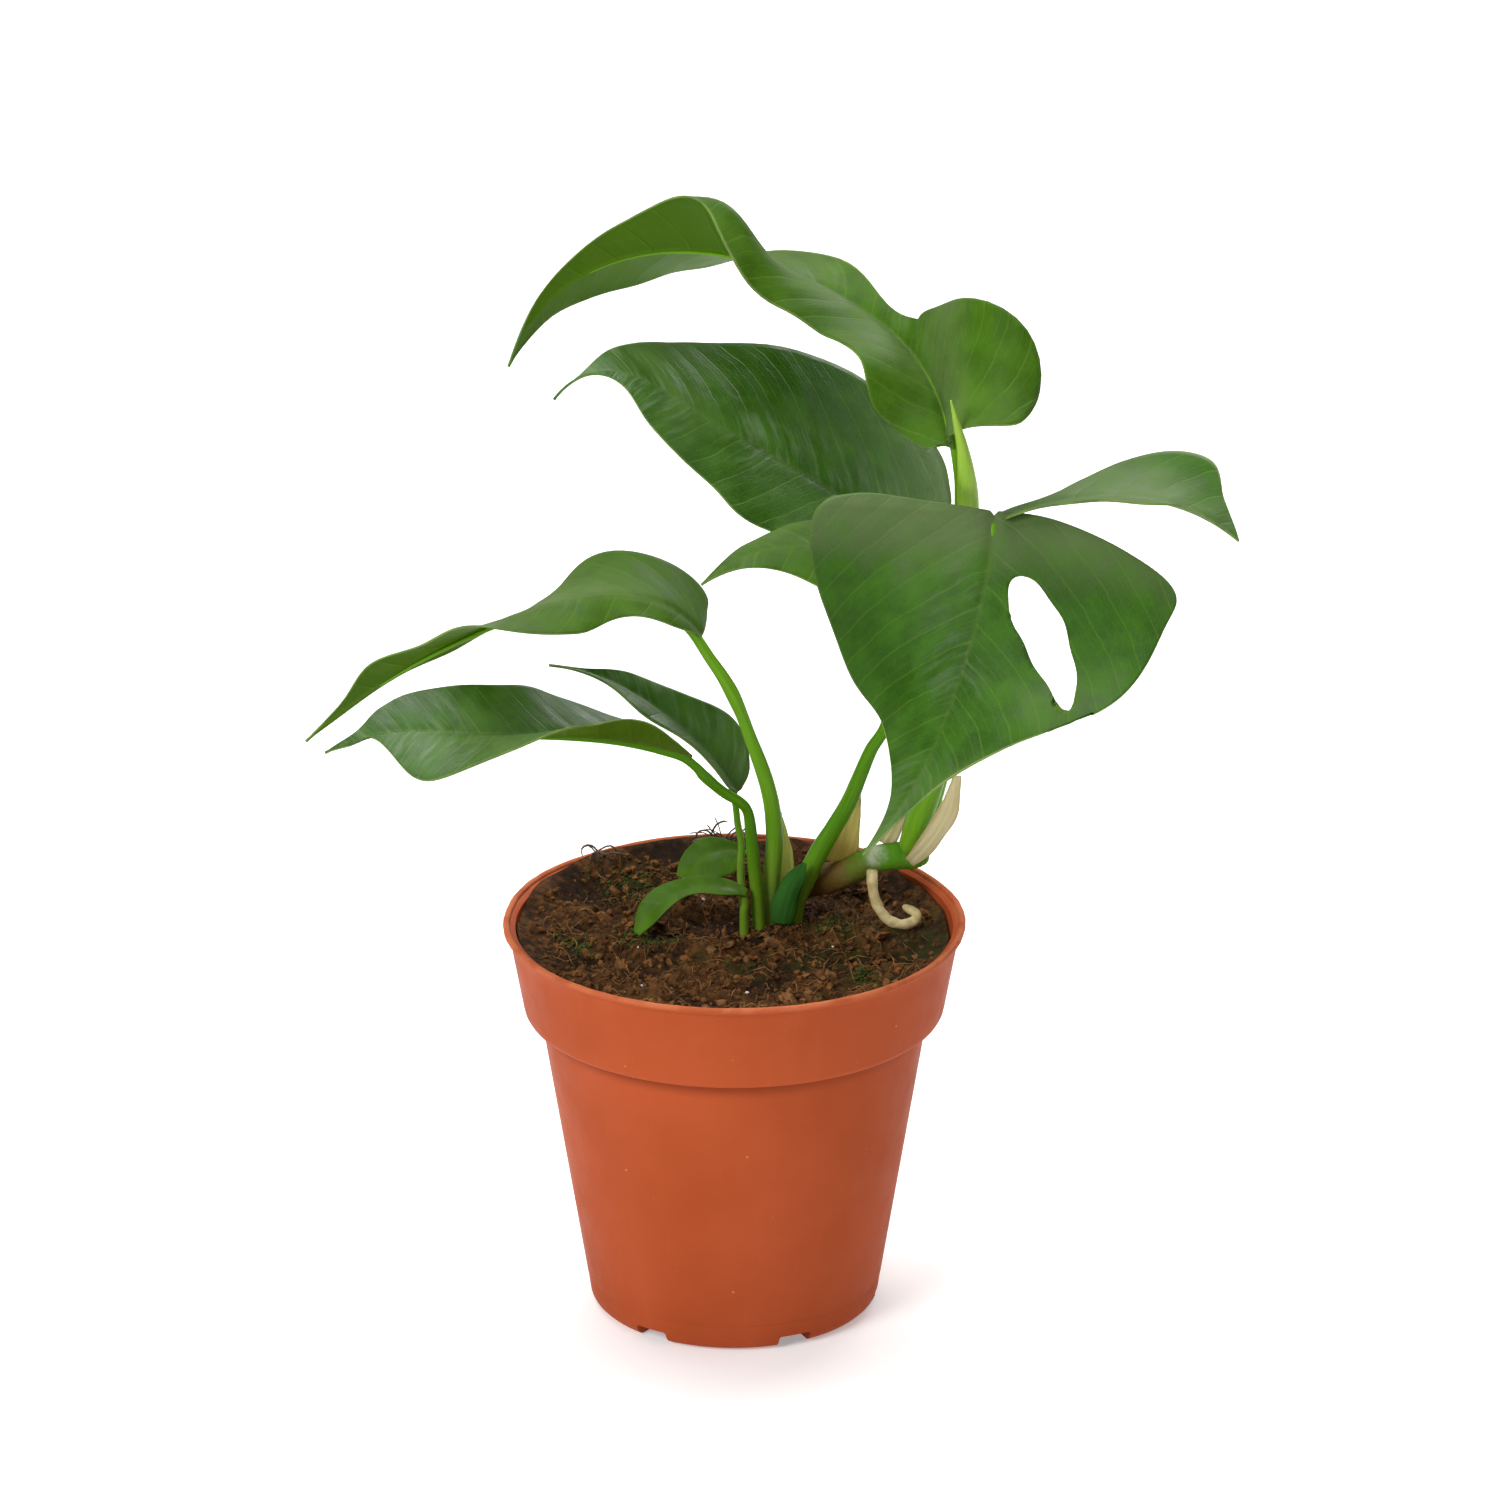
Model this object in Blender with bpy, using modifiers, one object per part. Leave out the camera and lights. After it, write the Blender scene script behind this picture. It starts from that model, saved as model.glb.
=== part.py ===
"""A young monstera with split leaves, growing in a plastic nursery pot.

Metres, +Z up. The origin is on the pot's axis at the ground, and +X and +Z span the
plant's broad side. Dimensions below are in millimetres and degrees.
"""

import math

import bmesh
import bpy
import numpy as np

MM = 0.001
GAP = 0.4  # clear space between neighbouring solids

# Pot: a thin shell with a deep collar, standing on a flat floor with six drain notches.
POT_HEIGHT = 93.0
RIM_RADIUS = 52.5
COLLAR_TOP_RADIUS = 51.2  # outside, just under the rim's bead
COLLAR_FOOT_RADIUS = 47.7
COLLAR_FOOT = 71.7  # height of the collar's lower edge
SHOULDER_RADIUS = 44.2  # the wall just under the collar
FOOT_RADIUS = 33.2
FOOT_ROUND = 3.0
WALL = 1.3
FLOOR = 1.8
NOTCH_COUNT = 6
NOTCH_WIDTH = 8.0
NOTCH_HEIGHT = 3.0
NOTCH_TURN = -35.0  # degrees from the front to the first notch

# Soil: fills the pot to a little under the rim, with a low mound round the stems.
SOIL_LEVEL = 86.6
SOIL_RISE_BACK = 0.06  # rise per length towards the back
SOIL_FALL_RIGHT = 0.02
SOIL_EDGE_RISE = 3.4  # how far the soil climbs against the pot's wall
SOIL_MOUND = 0.4
MOUND_PLACE = (6, 11)

LEAF_THICKNESS = 0.7
SHEATH_THICKNESS = 0.6
TIP_WIDTH = 0.5  # half width left at a leaf's point
SMALL_LEAF = 35.0  # a leaf shorter than this gets a coarser grid

GREEN = (0.06, 0.19, 0.03, 1)
DARK_GREEN = (0.04, 0.12, 0.03, 1)
LIGHT_GREEN = (0.17, 0.35, 0.04, 1)
CREAM = (0.55, 0.47, 0.25, 1)
ROOT = (0.50, 0.38, 0.20, 1)
EARTH = (0.06, 0.03, 0.016, 1)
TERRACOTTA = (0.42, 0.11, 0.045, 1)

# Each leaf: where its blade starts, how long it is, and lists that run evenly from base
# to tip. heading turns about +Z from +X, pitch is up from the horizontal, and roll lifts
# the left side. fold lifts each half (left, right) and curl bends it down again over the
# width given by wide. left and right are outline points: along the midrib, and out from it.
# hump raises the blade round one place: along, out, its half length, half width and height.
LEAVES = {
    "top_leaf": dict(
        start=(48.5, 13, 202), length=147, wide=25,
        heading=[94, 125, 164, 195, 225], pitch=[28, 19, 14, -13, -62],
        roll=[-48, -19, 10, 42, 71],
        fold=([38, 54, 26, 24, 59, 45, 0], [66, 50, 16, -4, -7, -15, -13]),
        curl=([22, 28, 51, 75, 83, 62, 35], [110, 9, -26, -21, 2, 10, 12]),
        rib=[0, 3, 10, 22, 34, 47, 66, 86, 107, 127, 147],
        left=[(1, 1), (1, 6), (9, 13), (19, 17), (50, 17), (82, 22), (92, 17),
              (108, 9), (124, 4), (147, 0)],
        right=[(1, 1), (-7, 14), (-10, 28), (10, 33), (34, 11), (37, 6), (48, 5),
               (70, 16), (86, 23), (98, 16), (120, 8), (147, 0)],
        hump=(84, 12, 11, 6, 7),
    ),
    "left_leaf": dict(
        start=(37, 37, 172), length=93, wide=22,
        heading=[158, 182, 187, 192, 205], pitch=[34, 32, 33, 29, -50],
        roll=[-31, -35, -36, -33, -31],
        fold=([6, 6, -5, -3], [-3, 8, -8, -8]),
        curl=([10, 8, 8, 4], [20, 7, 19, 13]),
        left=[(-2, 1), (-1, 10), (18, 18), (29, 20), (38, 20), (47, 16), (65, 10),
              (80, 1), (93, 0)],
        right=[(-2, 1), (-5, 14), (-1, 23), (11, 33), (50, 28), (64, 21), (75, 9),
               (84, 1), (93, 0)],
    ),
    "front_leaf": dict(
        start=(58, -1, 190.8), length=84, wide=35,
        heading=[264, 244, 228, 203], pitch=[-51, -53, -52, -41],
        roll=[-4, 0, 4, 8],
        fold=([-1, -5, 5, 3], [4, 0, -4, -2]),
        curl=([13, 15, 7, 7], [7, 10, 11, 8]),
        left=[(-1, 1), (0, 13), (5, 30), (11, 42), (19, 41), (37, 35), (52, 18),
              (68, 5), (84, 0)],
        right=[(-1, 1), (-2, 14), (-3, 31), (2, 40), (20, 40), (42, 31), (53, 18),
               (69, 6), (84, 0)],
    ),
    "behind_leaf": dict(
        start=(38, 17, 172.4), length=49, wide=12,
        heading=[187, 190, 193, 199], pitch=[26, 10, -10, -40],
        roll=[-28, -22, -16, -9],
        fold=([1, -3, 1], [1, -5, -2]), curl=([14, 14, 6], [13, 13, 6]),
        left=[(-1, 1), (1, 9), (9, 13), (20, 13), (32, 6), (43, 2), (49, 0)],
        right=[(-1, 1), (1, 8), (11, 11), (24, 10), (34, 6), (42, 2), (49, 0)],
    ),
    "upper_left_leaf": dict(
        start=(-7, 12, 157), length=105, wide=15,
        heading=[207, 201, 189, 188, 192], pitch=[57, 8, -19, -31, -42],
        roll=[-38, -13, 16, 42, 66],
        fold=([1, -11, 13, 8], [4, -16, -11, -5]),
        curl=([21, 25, 3, 1], [7, -6, 6, 3]),
        left=[(1, 1), (10, 5), (27, 7), (39, 12), (56, 14), (71, 6), (83, 7),
              (93, 2), (105, 0)],
        right=[(0, 1), (0, 8), (3, 15), (25, 20), (41, 12), (57, 7), (79, 2),
               (95, 1), (105, 0)],
    ),
    "lower_left_leaf": dict(
        start=(-10, 3, 131), length=91, wide=14,
        heading=[204, 214, 203, 183, 176], pitch=[28, 18, 9, 2, -31],
        roll=[0, -11, -22, -32, -39],
        fold=([74, 61, 40, 5, 0], [17, 6, 16, 5, 1]),
        curl=([0, 0, 0, 0, 0], [2, 7, -1, 1, 0]),
        left=[(0, 1), (6, 3), (17, 7), (32, 7), (42, 11), (61, 15), (70, 13),
              (79, 1), (85, 1), (91, 0)],
        right=[(0, 1), (2, 5), (8, 10), (26, 14), (47, 13), (68, 11), (77, 7),
               (83, 2), (91, 0)],
    ),
    "small_back_leaf": dict(
        start=(1, 20, 116), length=56, wide=10,
        heading=[172, 182, 190, 198], pitch=[61, 43, 32, 11],
        roll=[-21, -20, -20, -20],
        fold=([18, 14, 9], [22, 15, 9]), curl=([4, 6, 4], [0, 0, 0]),
        left=[(0, 1), (5, 5), (15, 5), (27, 7), (36, 6), (46, 1), (56, 0)],
        right=[(0, 1), (3, 6), (12, 11), (23, 8), (36, 5), (47, 1), (56, 0)],
    ),
    "low_front_leaf": dict(
        start=(3, 6, 97), length=30, wide=5,
        heading=[181, 191, 202], pitch=[27, -18, -64], roll=[-26, -24, -22],
        fold=([0, 2], [7, 7]), curl=([9, 8], [4, 4]),
        left=[(0, 1), (6, 3), (14, 2), (24, 3), (30, 1)],
        right=[(0, 1), (6, 2), (14, 3), (23, 4), (30, 1)],
    ),
    "low_back_leaf": dict(
        start=(2, 23.5, 100.4), length=17, wide=6,
        heading=[190, 191, 192], pitch=[16, -21, -59], roll=[-36, -36, -36],
        fold=([2, 1], [5, 6]), curl=([8, 8], [5, 4]),
        left=[(0, 1), (2, 6), (7, 7), (13, 6), (17, 1)],
        right=[(0, 1), (3, 2), (8, 4), (13, 3), (17, 1)],
    ),
}

# The front leaf's side lobe, cut off from the rest by a split that stops at a narrow neck.
SIDE_LOBE = dict(
    start=(60, -2, 190.8), length=57, wide=15,
    heading=[19, 12, 5, -4], pitch=[16, 1, -17, -42], roll=[-3, -5, -4, -3],
    fold=([6, 6, 22], [4, 9, 20]), curl=([5, -3, -18], [5, 6, -3]),
    left=[(0, 2), (11, 3), (21, 11), (32, 20), (46, 21), (51, 10), (57, 0)],
    right=[(0, 2), (11, 4), (21, 6), (32, 10), (42, 8), (50, 4), (57, 0)],
)
# The hole between two side veins of the front leaf: its middle, half sizes and turn.
HOLE_CENTRE = (27, 17)
HOLE_HALF = (17, 4.6)
HOLE_TURN = 50.0
HOLE_TAPER = 0.35  # how much narrower its outer end is

# Dry sheaths that wrap the stalks' feet, made the same way as the leaves.
SHEATHS = {
    "left_sheath": dict(
        start=(11.7, 15, 91), length=22, wide=3,
        heading=[0, 0], pitch=[88, 98], roll=[90, 90],
        fold=([0, 0], [0, 0]), curl=([50, 30], [50, 30]),
        left=[(0, 1.4), (8, 1.7), (15, 1.4), (22, 0)],
        right=[(0, 1.4), (8, 2.0), (14, 1.4), (22, 0)],
    ),
    "foot_sheath": dict(
        start=(11, 7.2, 88.6), length=16, wide=3,
        heading=[0, 0], pitch=[84, 58], roll=[90, 90],
        fold=([0, 0], [0, 0]), curl=([50, 40], [50, 40]),
        left=[(0, 2.6), (5, 3.5), (11, 2.6), (16, 0.5)],
        right=[(0, 2), (5, 2.7), (11, 2.2), (16, 0.4)],
    ),
    "middle_sheath": dict(
        start=(25.2, 15.3, 102.6), length=18.5, wide=4,
        heading=[0, 0], pitch=[78, 80], roll=[90, 90],
        fold=([0, 0], [0, 0]), curl=([5, 10], [30, 30]),
        left=[(0, 4.2), (6, 3.8), (12, 2.2), (18.5, 0)],
        right=[(2.2, 3.0), (7, 2.4), (12, 1.4), (18.5, 0)],
    ),
    "inner_sheath": dict(
        start=(35.8, 15.8, 106.8), length=12, wide=3,
        heading=[0, 0], pitch=[62, 70], roll=[90, 90],
        fold=([0, 0], [0, 0]), curl=([20, 20], [20, 20]),
        left=[(0, 2), (4, 1.7), (8, 1.1), (12, 0)],
        right=[(0, 2), (4, 1.4), (8, 0.8), (12, 0)],
    ),
    "right_sheath": dict(
        start=(41.8, 8.9, 104.6), length=22, wide=3,
        heading=[0, 0], pitch=[46, 86], roll=[90, 90],
        fold=([0, 0], [0, 0]), curl=([20, 20], [60, 60]),
        left=[(0, 1.6), (7, 2.8), (14, 2.4), (22, 1)],
        right=[(0, 1.0), (7, 2.2), (14, 2.1), (22, 0.8)],
    ),
}

# Round stems: points along the middle, each with its radius.
STEMS = {
    "main_stem": [
        (12.8, 19, 82, 2.4), (13, 18.8, 90, 2.8), (16.6, 17.9, 94, 3.2),
        (22.8, 16.4, 96.6, 3.6), (28.5, 15.2, 99.6, 3.3), (32, 14.6, 101.6, 3.1),
        (36.7, 14, 102.6, 3.1), (41.2, 14, 102.6, 2.8), (43.5, 14, 102.4, 1.9),
    ],
    "front_leaf_stalk": [
        (40.0, 13.2, 106.0, 2.5), (41.6, 13, 111, 2.9), (43.6, 13, 117, 2.9),
        (45.8, 13, 124, 2.6), (48.9, 13, 136, 2.2), (52.2, 12, 151, 1.8),
        (55, 10, 166, 1.5), (57, 6, 179, 1.2), (57.9, 1.2, 188.4, 1.0),
    ],
    "top_leaf_stalk": [
        (42.8, 16.7, 104.5, 1.3), (45.6, 18.2, 114, 1.6), (48.4, 18, 126, 1.5),
        (51, 17.6, 140, 1.4), (51.6, 17.2, 157, 1.2), (51.2, 16.6, 173, 1.1),
        (50.4, 15.4, 187, 1.0), (49.6, 13.8, 200.2, 0.9),
    ],
    "left_leaf_stalk": [
        (39.2, 17.3, 105.0, 1.1), (41.4, 19.5, 114, 1.4), (44, 22, 125, 1.4),
        (45.2, 26.5, 139, 1.3), (42.4, 32, 154, 1.1), (39, 36.6, 166, 1.0),
        (37.8, 37.4, 170.4, 0.9),
    ],
    "behind_leaf_stalk": [
        (13.2, 11.5, 84, 2.0), (14, 11.5, 92, 2.2), (16.1, 11.8, 97.5, 2.3),
        (19.5, 12.2, 104.8, 2.2), (22.3, 12.6, 109.6, 2.0), (25.9, 13, 116, 1.9),
        (28.4, 13, 122.4, 1.7), (31, 13, 129, 1.5), (34.1, 13.4, 134.3, 1.3),
        (37, 14.6, 144, 1.0), (38.4, 16, 157, 1.0), (38.2, 17, 170.8, 0.8),
    ],
    "upper_left_leaf_stalk": [
        (7.9, 13, 82, 2.0), (7.9, 13, 90, 2.0), (8.5, 13, 98, 2.0), (9.1, 13, 106, 2.0),
        (8.8, 13, 113, 1.9), (7.8, 13, 119, 1.8), (6.1, 13, 125, 1.7),
        (3.6, 13, 132, 1.5), (1.2, 12.7, 139, 1.4), (-2.3, 12.3, 147, 1.4),
        (-6.6, 12, 155.6, 1.2),
    ],
    "lower_left_leaf_stalk": [
        (5.9, 9.4, 80, 1.5), (5.6, 9.4, 88, 1.5), (5.2, 9.4, 95, 1.5),
        (4.5, 9.4, 102, 1.5), (3.8, 9.2, 110, 1.4), (3.1, 8.8, 115.4, 1.2),
        (1.2, 7.8, 118.4, 1.2), (-2.8, 6.4, 121.6, 1.2), (-7, 4.6, 126.3, 1.1),
        (-9.2, 3.4, 130, 1.0),
    ],
    "small_back_leaf_stalk": [
        (2.4, 15.6, 82, 0.9), (2, 16, 90, 0.9), (1.5, 16.6, 96, 0.9),
        (1.5, 17.2, 100, 0.9), (1.6, 18, 104, 0.8), (0.9, 19, 108.5, 0.8),
        (0.9, 19.9, 114.6, 0.7),
    ],
    "low_front_leaf_stalk": [
        (2.4, 6.3, 80, 1.1), (2.3, 6.3, 87, 1.1), (2.3, 6.1, 92.4, 1.0), (3.1, 6, 95.7, 0.8),
    ],
    "low_back_leaf_stalk": [
        (5.4, 22.6, 82, 0.7), (5.2, 22.8, 91, 0.7), (3.9, 23.4, 98.6, 0.6),
        (3.2, 23.5, 99.9, 0.6),
    ],
    "new_leaf": [
        (52.2, 10, 170, 0.7), (52.8, 10.2, 178, 1.9), (52.4, 9, 189.5, 2.4),
        (51.9, 5.4, 197.3, 2.0), (50.9, 2, 205.3, 1.3), (49.5, -0.6, 211.9, 0.8),
        (48.1, -2.2, 218.2, 0.2),
    ],
    "aerial_root": [
        (31.4, 9.6, 98.4, 1.2), (31.8, 8.2, 95.4, 1.2), (33, 6.5, 92.7, 1.2),
        (35.3, 5, 90.5, 1.2), (38.4, 4.5, 89.7, 1.2), (41, 5, 90.4, 1.2),
        (41.4, 6.5, 91.5, 1.1), (39.2, 8, 92.3, 0.9),
    ],
}
# Stems whose feet stand in the soil.
SOCKETED = (
    "main_stem", "behind_leaf_stalk", "upper_left_leaf_stalk", "lower_left_leaf_stalk",
    "small_back_leaf_stalk", "low_front_leaf_stalk", "low_back_leaf_stalk",
)


def clear_scene():
    for thing in list(bpy.data.objects):
        bpy.data.objects.remove(thing, do_unlink=True)


def collection(name, hidden=False):
    group = bpy.data.collections.new(name)
    group.hide_render = hidden
    bpy.context.scene.collection.children.link(group)
    return group


def material(name, colour, roughness):
    made = bpy.data.materials.new(name)
    made.use_nodes = True
    shader = made.node_tree.nodes["Principled BSDF"]
    shader.inputs["Base Color"].default_value = colour
    shader.inputs["Roughness"].default_value = roughness
    shader.inputs["Metallic"].default_value = 0.0
    made.diffuse_color = colour
    return made


def add(name, mesh, group, look=None):
    made = bpy.data.objects.new(name, mesh)
    group.objects.link(made)
    if look:
        mesh.materials.append(look)
    return made


def finish(bm, name):
    """A mesh from bm in metres."""
    bmesh.ops.scale(bm, vec=(MM, MM, MM), verts=bm.verts)
    mesh = bpy.data.meshes.new(name)
    bm.to_mesh(mesh)
    bm.free()
    return mesh


def smooth(values, where):
    """A smooth curve through evenly spaced values, read at places from 0 to 1."""
    values = np.asarray(values, float)
    last = len(values) - 1
    place = np.clip(np.asarray(where, float) * last, 0, last)
    step = np.minimum(place.astype(int), last - 1)
    part = place - step
    first, final = step > 0, step + 2 <= last
    if values.ndim > 1:
        part, first, final = part[..., None], first[..., None], final[..., None]
    here, after = values[step], values[step + 1]
    before = np.where(first, values[np.maximum(step - 1, 0)], 2 * here - after)
    beyond = np.where(final, values[np.minimum(step + 2, last)], 2 * after - here)
    cubic = 3 * (here - after) + beyond - before
    square = 2 * before - 5 * here + 4 * after - beyond
    return here + 0.5 * part * (after - before + part * (square + part * cubic))


def midrib(leaf, steps=60):
    """Places along the midrib with its points, directions, left sides and upper sides."""
    along = np.linspace(0, 1, steps + 1)
    turn, rise, roll = (
        np.radians(smooth(leaf[key], along)) for key in ("heading", "pitch", "roll")
    )
    level = np.cos(rise)
    ahead = np.stack([np.cos(turn) * level, np.sin(turn) * level, np.sin(rise)], -1)
    flat_left = np.stack([-np.sin(turn), np.cos(turn), 0 * turn], -1)
    flat_up = np.cross(ahead, flat_left)
    left = np.cos(roll)[:, None] * flat_left + np.sin(roll)[:, None] * flat_up
    points = np.zeros((steps + 1, 3)) + leaf["start"]
    stride = leaf["length"] / steps
    points[1:] += np.cumsum((ahead[1:] + ahead[:-1]) / 2 * stride, 0)
    return along, points, ahead, left, np.cross(ahead, left)


def bend(leaf, ahead_by, out_by):
    """Points of the bent blade, for places on the flat one: along the midrib and out to
    its left (or, negative, its right)."""
    along, points, ahead, left, up = midrib(leaf)
    share = ahead_by / leaf["length"]
    inside = np.clip(share, 0, 1)

    def read(values):
        return np.stack([np.interp(inside, along, values[:, k]) for k in range(3)], -1)

    def half(key):
        pair = leaf[key]
        return np.radians(
            np.where(out_by >= 0, smooth(pair[0], inside), smooth(pair[1], inside))
        )

    fold, curl = half("fold"), half("curl") / leaf["wide"]
    curl = np.where(np.abs(curl) < 1e-4, 1e-4, curl)
    reach = np.abs(out_by)
    across = (np.sin(fold) - np.sin(fold - curl * reach)) / curl
    lift = (np.cos(fold - curl * reach) - np.cos(fold)) / curl
    before = np.minimum(share, 0) * leaf["length"]
    places = (
        read(points) + before[..., None] * ahead[0]
        + (np.sign(out_by) * across)[..., None] * read(left)
        + lift[..., None] * read(up)
    )
    at, out, long, broad, height = leaf.get("hump", (0, 0, 1, 1, 0))
    near = ((ahead_by - at) / long) ** 2 + ((out_by - out) / broad) ** 2
    places[..., 2] += height * np.exp(-near)
    return places


def flat_places(leaf, rows, columns):
    """Where a grid's crossings lie on the flat blade: rows run from base to tip, and
    columns from the left edge to the right."""
    along, out = np.meshgrid(
        np.linspace(0, 1, rows + 1), np.linspace(-1, 1, columns + 1), indexing="ij"
    )
    edges = np.where(
        (out < 0)[..., None], smooth(leaf["left"], along), smooth(leaf["right"], along)
    )
    stations = smooth(leaf.get("rib", (0, leaf["length"])), along)
    share = np.abs(out)
    width = np.maximum(edges[..., 1], TIP_WIDTH)
    return stations * (1 - share) + edges[..., 0] * share, -out * width


def blade(name, leaf, group, look, thickness, rows=14, columns=6):
    """A bent leaf of even thickness: a flat grid moved to its bent places."""
    bm = bmesh.new()
    bmesh.ops.create_grid(bm, x_segments=rows, y_segments=columns, size=1)
    ahead_by, out_by = flat_places(leaf, rows, columns)
    places = bend(leaf, ahead_by, out_by)
    for vertex in bm.verts:
        row = round((vertex.co.x + 1) / 2 * rows)
        column = round((vertex.co.y + 1) / 2 * columns)
        vertex.co = places[row, column]
    bmesh.ops.reverse_faces(bm, faces=bm.faces)
    made = add(name, finish(bm, name), group, look)
    shell = made.modifiers.new("thickness", "SOLIDIFY")
    shell.thickness = thickness * MM
    shell.offset = 0
    made.data.shade_smooth()
    return made


def tube(name, stem, group, look):
    """A round stem of changing radius along a smooth line."""
    curve = bpy.data.curves.new(name, "CURVE")
    curve.dimensions = "3D"
    curve.bevel_depth = MM
    curve.bevel_resolution = 2
    curve.use_fill_caps = True
    points = smooth(stem, np.linspace(0, 1, 2 * len(stem) - 1))
    spline = curve.splines.new("POLY")
    spline.points.add(len(points) - 1)
    for knot, (x, y, z, radius) in zip(spline.points, points):
        knot.co = (x * MM, y * MM, z * MM, 1)
        knot.radius = radius
    curve.materials.append(look)
    made = bpy.data.objects.new(name, curve)
    group.objects.link(made)
    return made


def collar_inside(height):
    """The collar's inner radius at a height."""
    share = (height - COLLAR_FOOT) / (POT_HEIGHT - COLLAR_FOOT)
    return COLLAR_FOOT_RADIUS - WALL + share * (COLLAR_TOP_RADIUS - COLLAR_FOOT_RADIUS)


def pot_profile():
    """Half of the pot's section, from the floor's middle up the inside, over the rim and
    down the outside to the middle underneath."""
    inside_foot = FOOT_RADIUS - WALL
    inside = [
        (0, FLOOR), (inside_foot - 2, FLOOR), (inside_foot, FLOOR + 2),
        (SHOULDER_RADIUS - WALL, COLLAR_FOOT - 0.5),
        (collar_inside(COLLAR_FOOT + 2), COLLAR_FOOT + 2),
        (collar_inside(POT_HEIGHT - 0.4), POT_HEIGHT - 0.4),
    ]
    rim = [
        (collar_inside(POT_HEIGHT) + 0.4, POT_HEIGHT), (RIM_RADIUS - 0.5, POT_HEIGHT),
        (RIM_RADIUS, POT_HEIGHT - 0.5), (RIM_RADIUS, POT_HEIGHT - 1.3),
        (COLLAR_TOP_RADIUS, POT_HEIGHT - 2),
    ]
    outside = [
        (COLLAR_FOOT_RADIUS, COLLAR_FOOT + 1.4), (COLLAR_FOOT_RADIUS - 0.6, COLLAR_FOOT),
        (SHOULDER_RADIUS + 0.2, COLLAR_FOOT - 1), (SHOULDER_RADIUS - 0.3, COLLAR_FOOT - 2.4),
        (FOOT_RADIUS, FOOT_ROUND),
    ]
    turns = np.radians((30, 60, 90))
    toe = [
        (FOOT_RADIUS - FOOT_ROUND * (1 - math.cos(turn)), FOOT_ROUND * (1 - math.sin(turn)))
        for turn in turns
    ]
    return inside + rim + outside + toe + [(0, 0)]


def turned(profile, steps):
    """A solid of revolution about +Z from a half section that ends on the axis."""
    bm = bmesh.new()
    knots = [bm.verts.new((radius, 0, height)) for radius, height in profile]
    edges = [bm.edges.new(pair) for pair in zip(knots, knots[1:])]
    bmesh.ops.spin(
        bm, geom=knots + edges, axis=(0, 0, 1), cent=(0, 0, 0), angle=2 * math.pi,
        steps=steps, use_merge=True,
    )
    bmesh.ops.remove_doubles(bm, verts=bm.verts, dist=0.001)
    bmesh.ops.recalc_face_normals(bm, faces=bm.faces)
    return bm


def cut(target, cutter):
    cutter.hide_render = True
    cutter.display_type = "WIRE"
    change = target.modifiers.new("cut " + cutter.name, "BOOLEAN")
    change.operation = "DIFFERENCE"
    change.solver = "EXACT"
    change.object = cutter


def pot(group, cutters, look):
    made = add("pot", finish(turned(pot_profile(), 48), "pot"), group, look)
    made.data.shade_smooth()
    made.data.set_sharp_from_angle(angle=math.radians(40))
    for k in range(NOTCH_COUNT):
        turn = math.radians(NOTCH_TURN + k * 360 / NOTCH_COUNT - 90)
        bm = bmesh.new()
        bmesh.ops.create_cube(bm, size=1)
        bmesh.ops.scale(bm, vec=(9, NOTCH_WIDTH, NOTCH_HEIGHT + 1), verts=bm.verts)
        box = add(f"drain_notch_{k + 1}", finish(bm, "drain_notch"), cutters)
        reach = FOOT_RADIUS - 1.5
        box.location = (
            reach * math.cos(turn) * MM, reach * math.sin(turn) * MM,
            (NOTCH_HEIGHT - 1) / 2 * MM,
        )
        box.rotation_euler.z = turn
        cut(made, box)
    return made


def soil_height(x, y):
    """The height of the soil's top, with a mound by the stems and low lumps."""
    from_mound = math.hypot(x - MOUND_PLACE[0], y - MOUND_PLACE[1])
    slope = SOIL_LEVEL + SOIL_RISE_BACK * y - SOIL_FALL_RIGHT * x
    slope += SOIL_EDGE_RISE * (math.hypot(x, y) / 48) ** 8
    mound = SOIL_MOUND * math.exp(-((from_mound / 14) ** 2))
    lumps = 0.5 * math.sin(x / 5.1 + 1) * math.sin(y / 4.3) + 0.3 * math.sin(x / 2.7 - y / 3)
    return slope + mound + lumps


def soil(group, cutters, look):
    top_edge = collar_inside(SOIL_LEVEL) - GAP
    tops = [(top_edge * k / 12, SOIL_LEVEL) for k in range(13)]
    wall = [
        (collar_inside(COLLAR_FOOT + 3.5) - GAP - 0.1, COLLAR_FOOT + 3.5),
        (SHOULDER_RADIUS - WALL - GAP - 0.1, COLLAR_FOOT),
        (FOOT_RADIUS - WALL - GAP - 0.2, FLOOR + 2 + GAP),
        (FOOT_RADIUS - WALL - GAP - 2.4, FLOOR + GAP), (0, FLOOR + GAP),
    ]
    bm = turned(tops + wall, 40)
    for vertex in bm.verts:
        if vertex.co.z > SOIL_LEVEL - 1:
            place = vertex.co
            place.z = soil_height(place.x, place.y)
            if math.hypot(place.x, place.y) > top_edge - 0.1:
                share = (collar_inside(place.z) - GAP - 0.1) / top_edge
                place.x *= share
                place.y *= share
    made = add("soil", finish(bm, "soil"), group, look)
    for name in SOCKETED:
        x, y, z, radius = STEMS[name][0]
        above = STEMS[name][1]
        lean = math.hypot(above[0] - x, above[1] - y) / 2
        wide = max(radius, above[3]) + lean + GAP
        bm = bmesh.new()
        bmesh.ops.create_cone(
            bm, cap_ends=True, segments=12, radius1=wide, radius2=wide, depth=16
        )
        socket = add("socket_of_" + name, finish(bm, "socket"), cutters)
        socket.location = (
            (x + above[0]) / 2 * MM, (y + above[1]) / 2 * MM, (z - 2 * GAP + 8) * MM
        )
        cut(made, socket)
    return made


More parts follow.
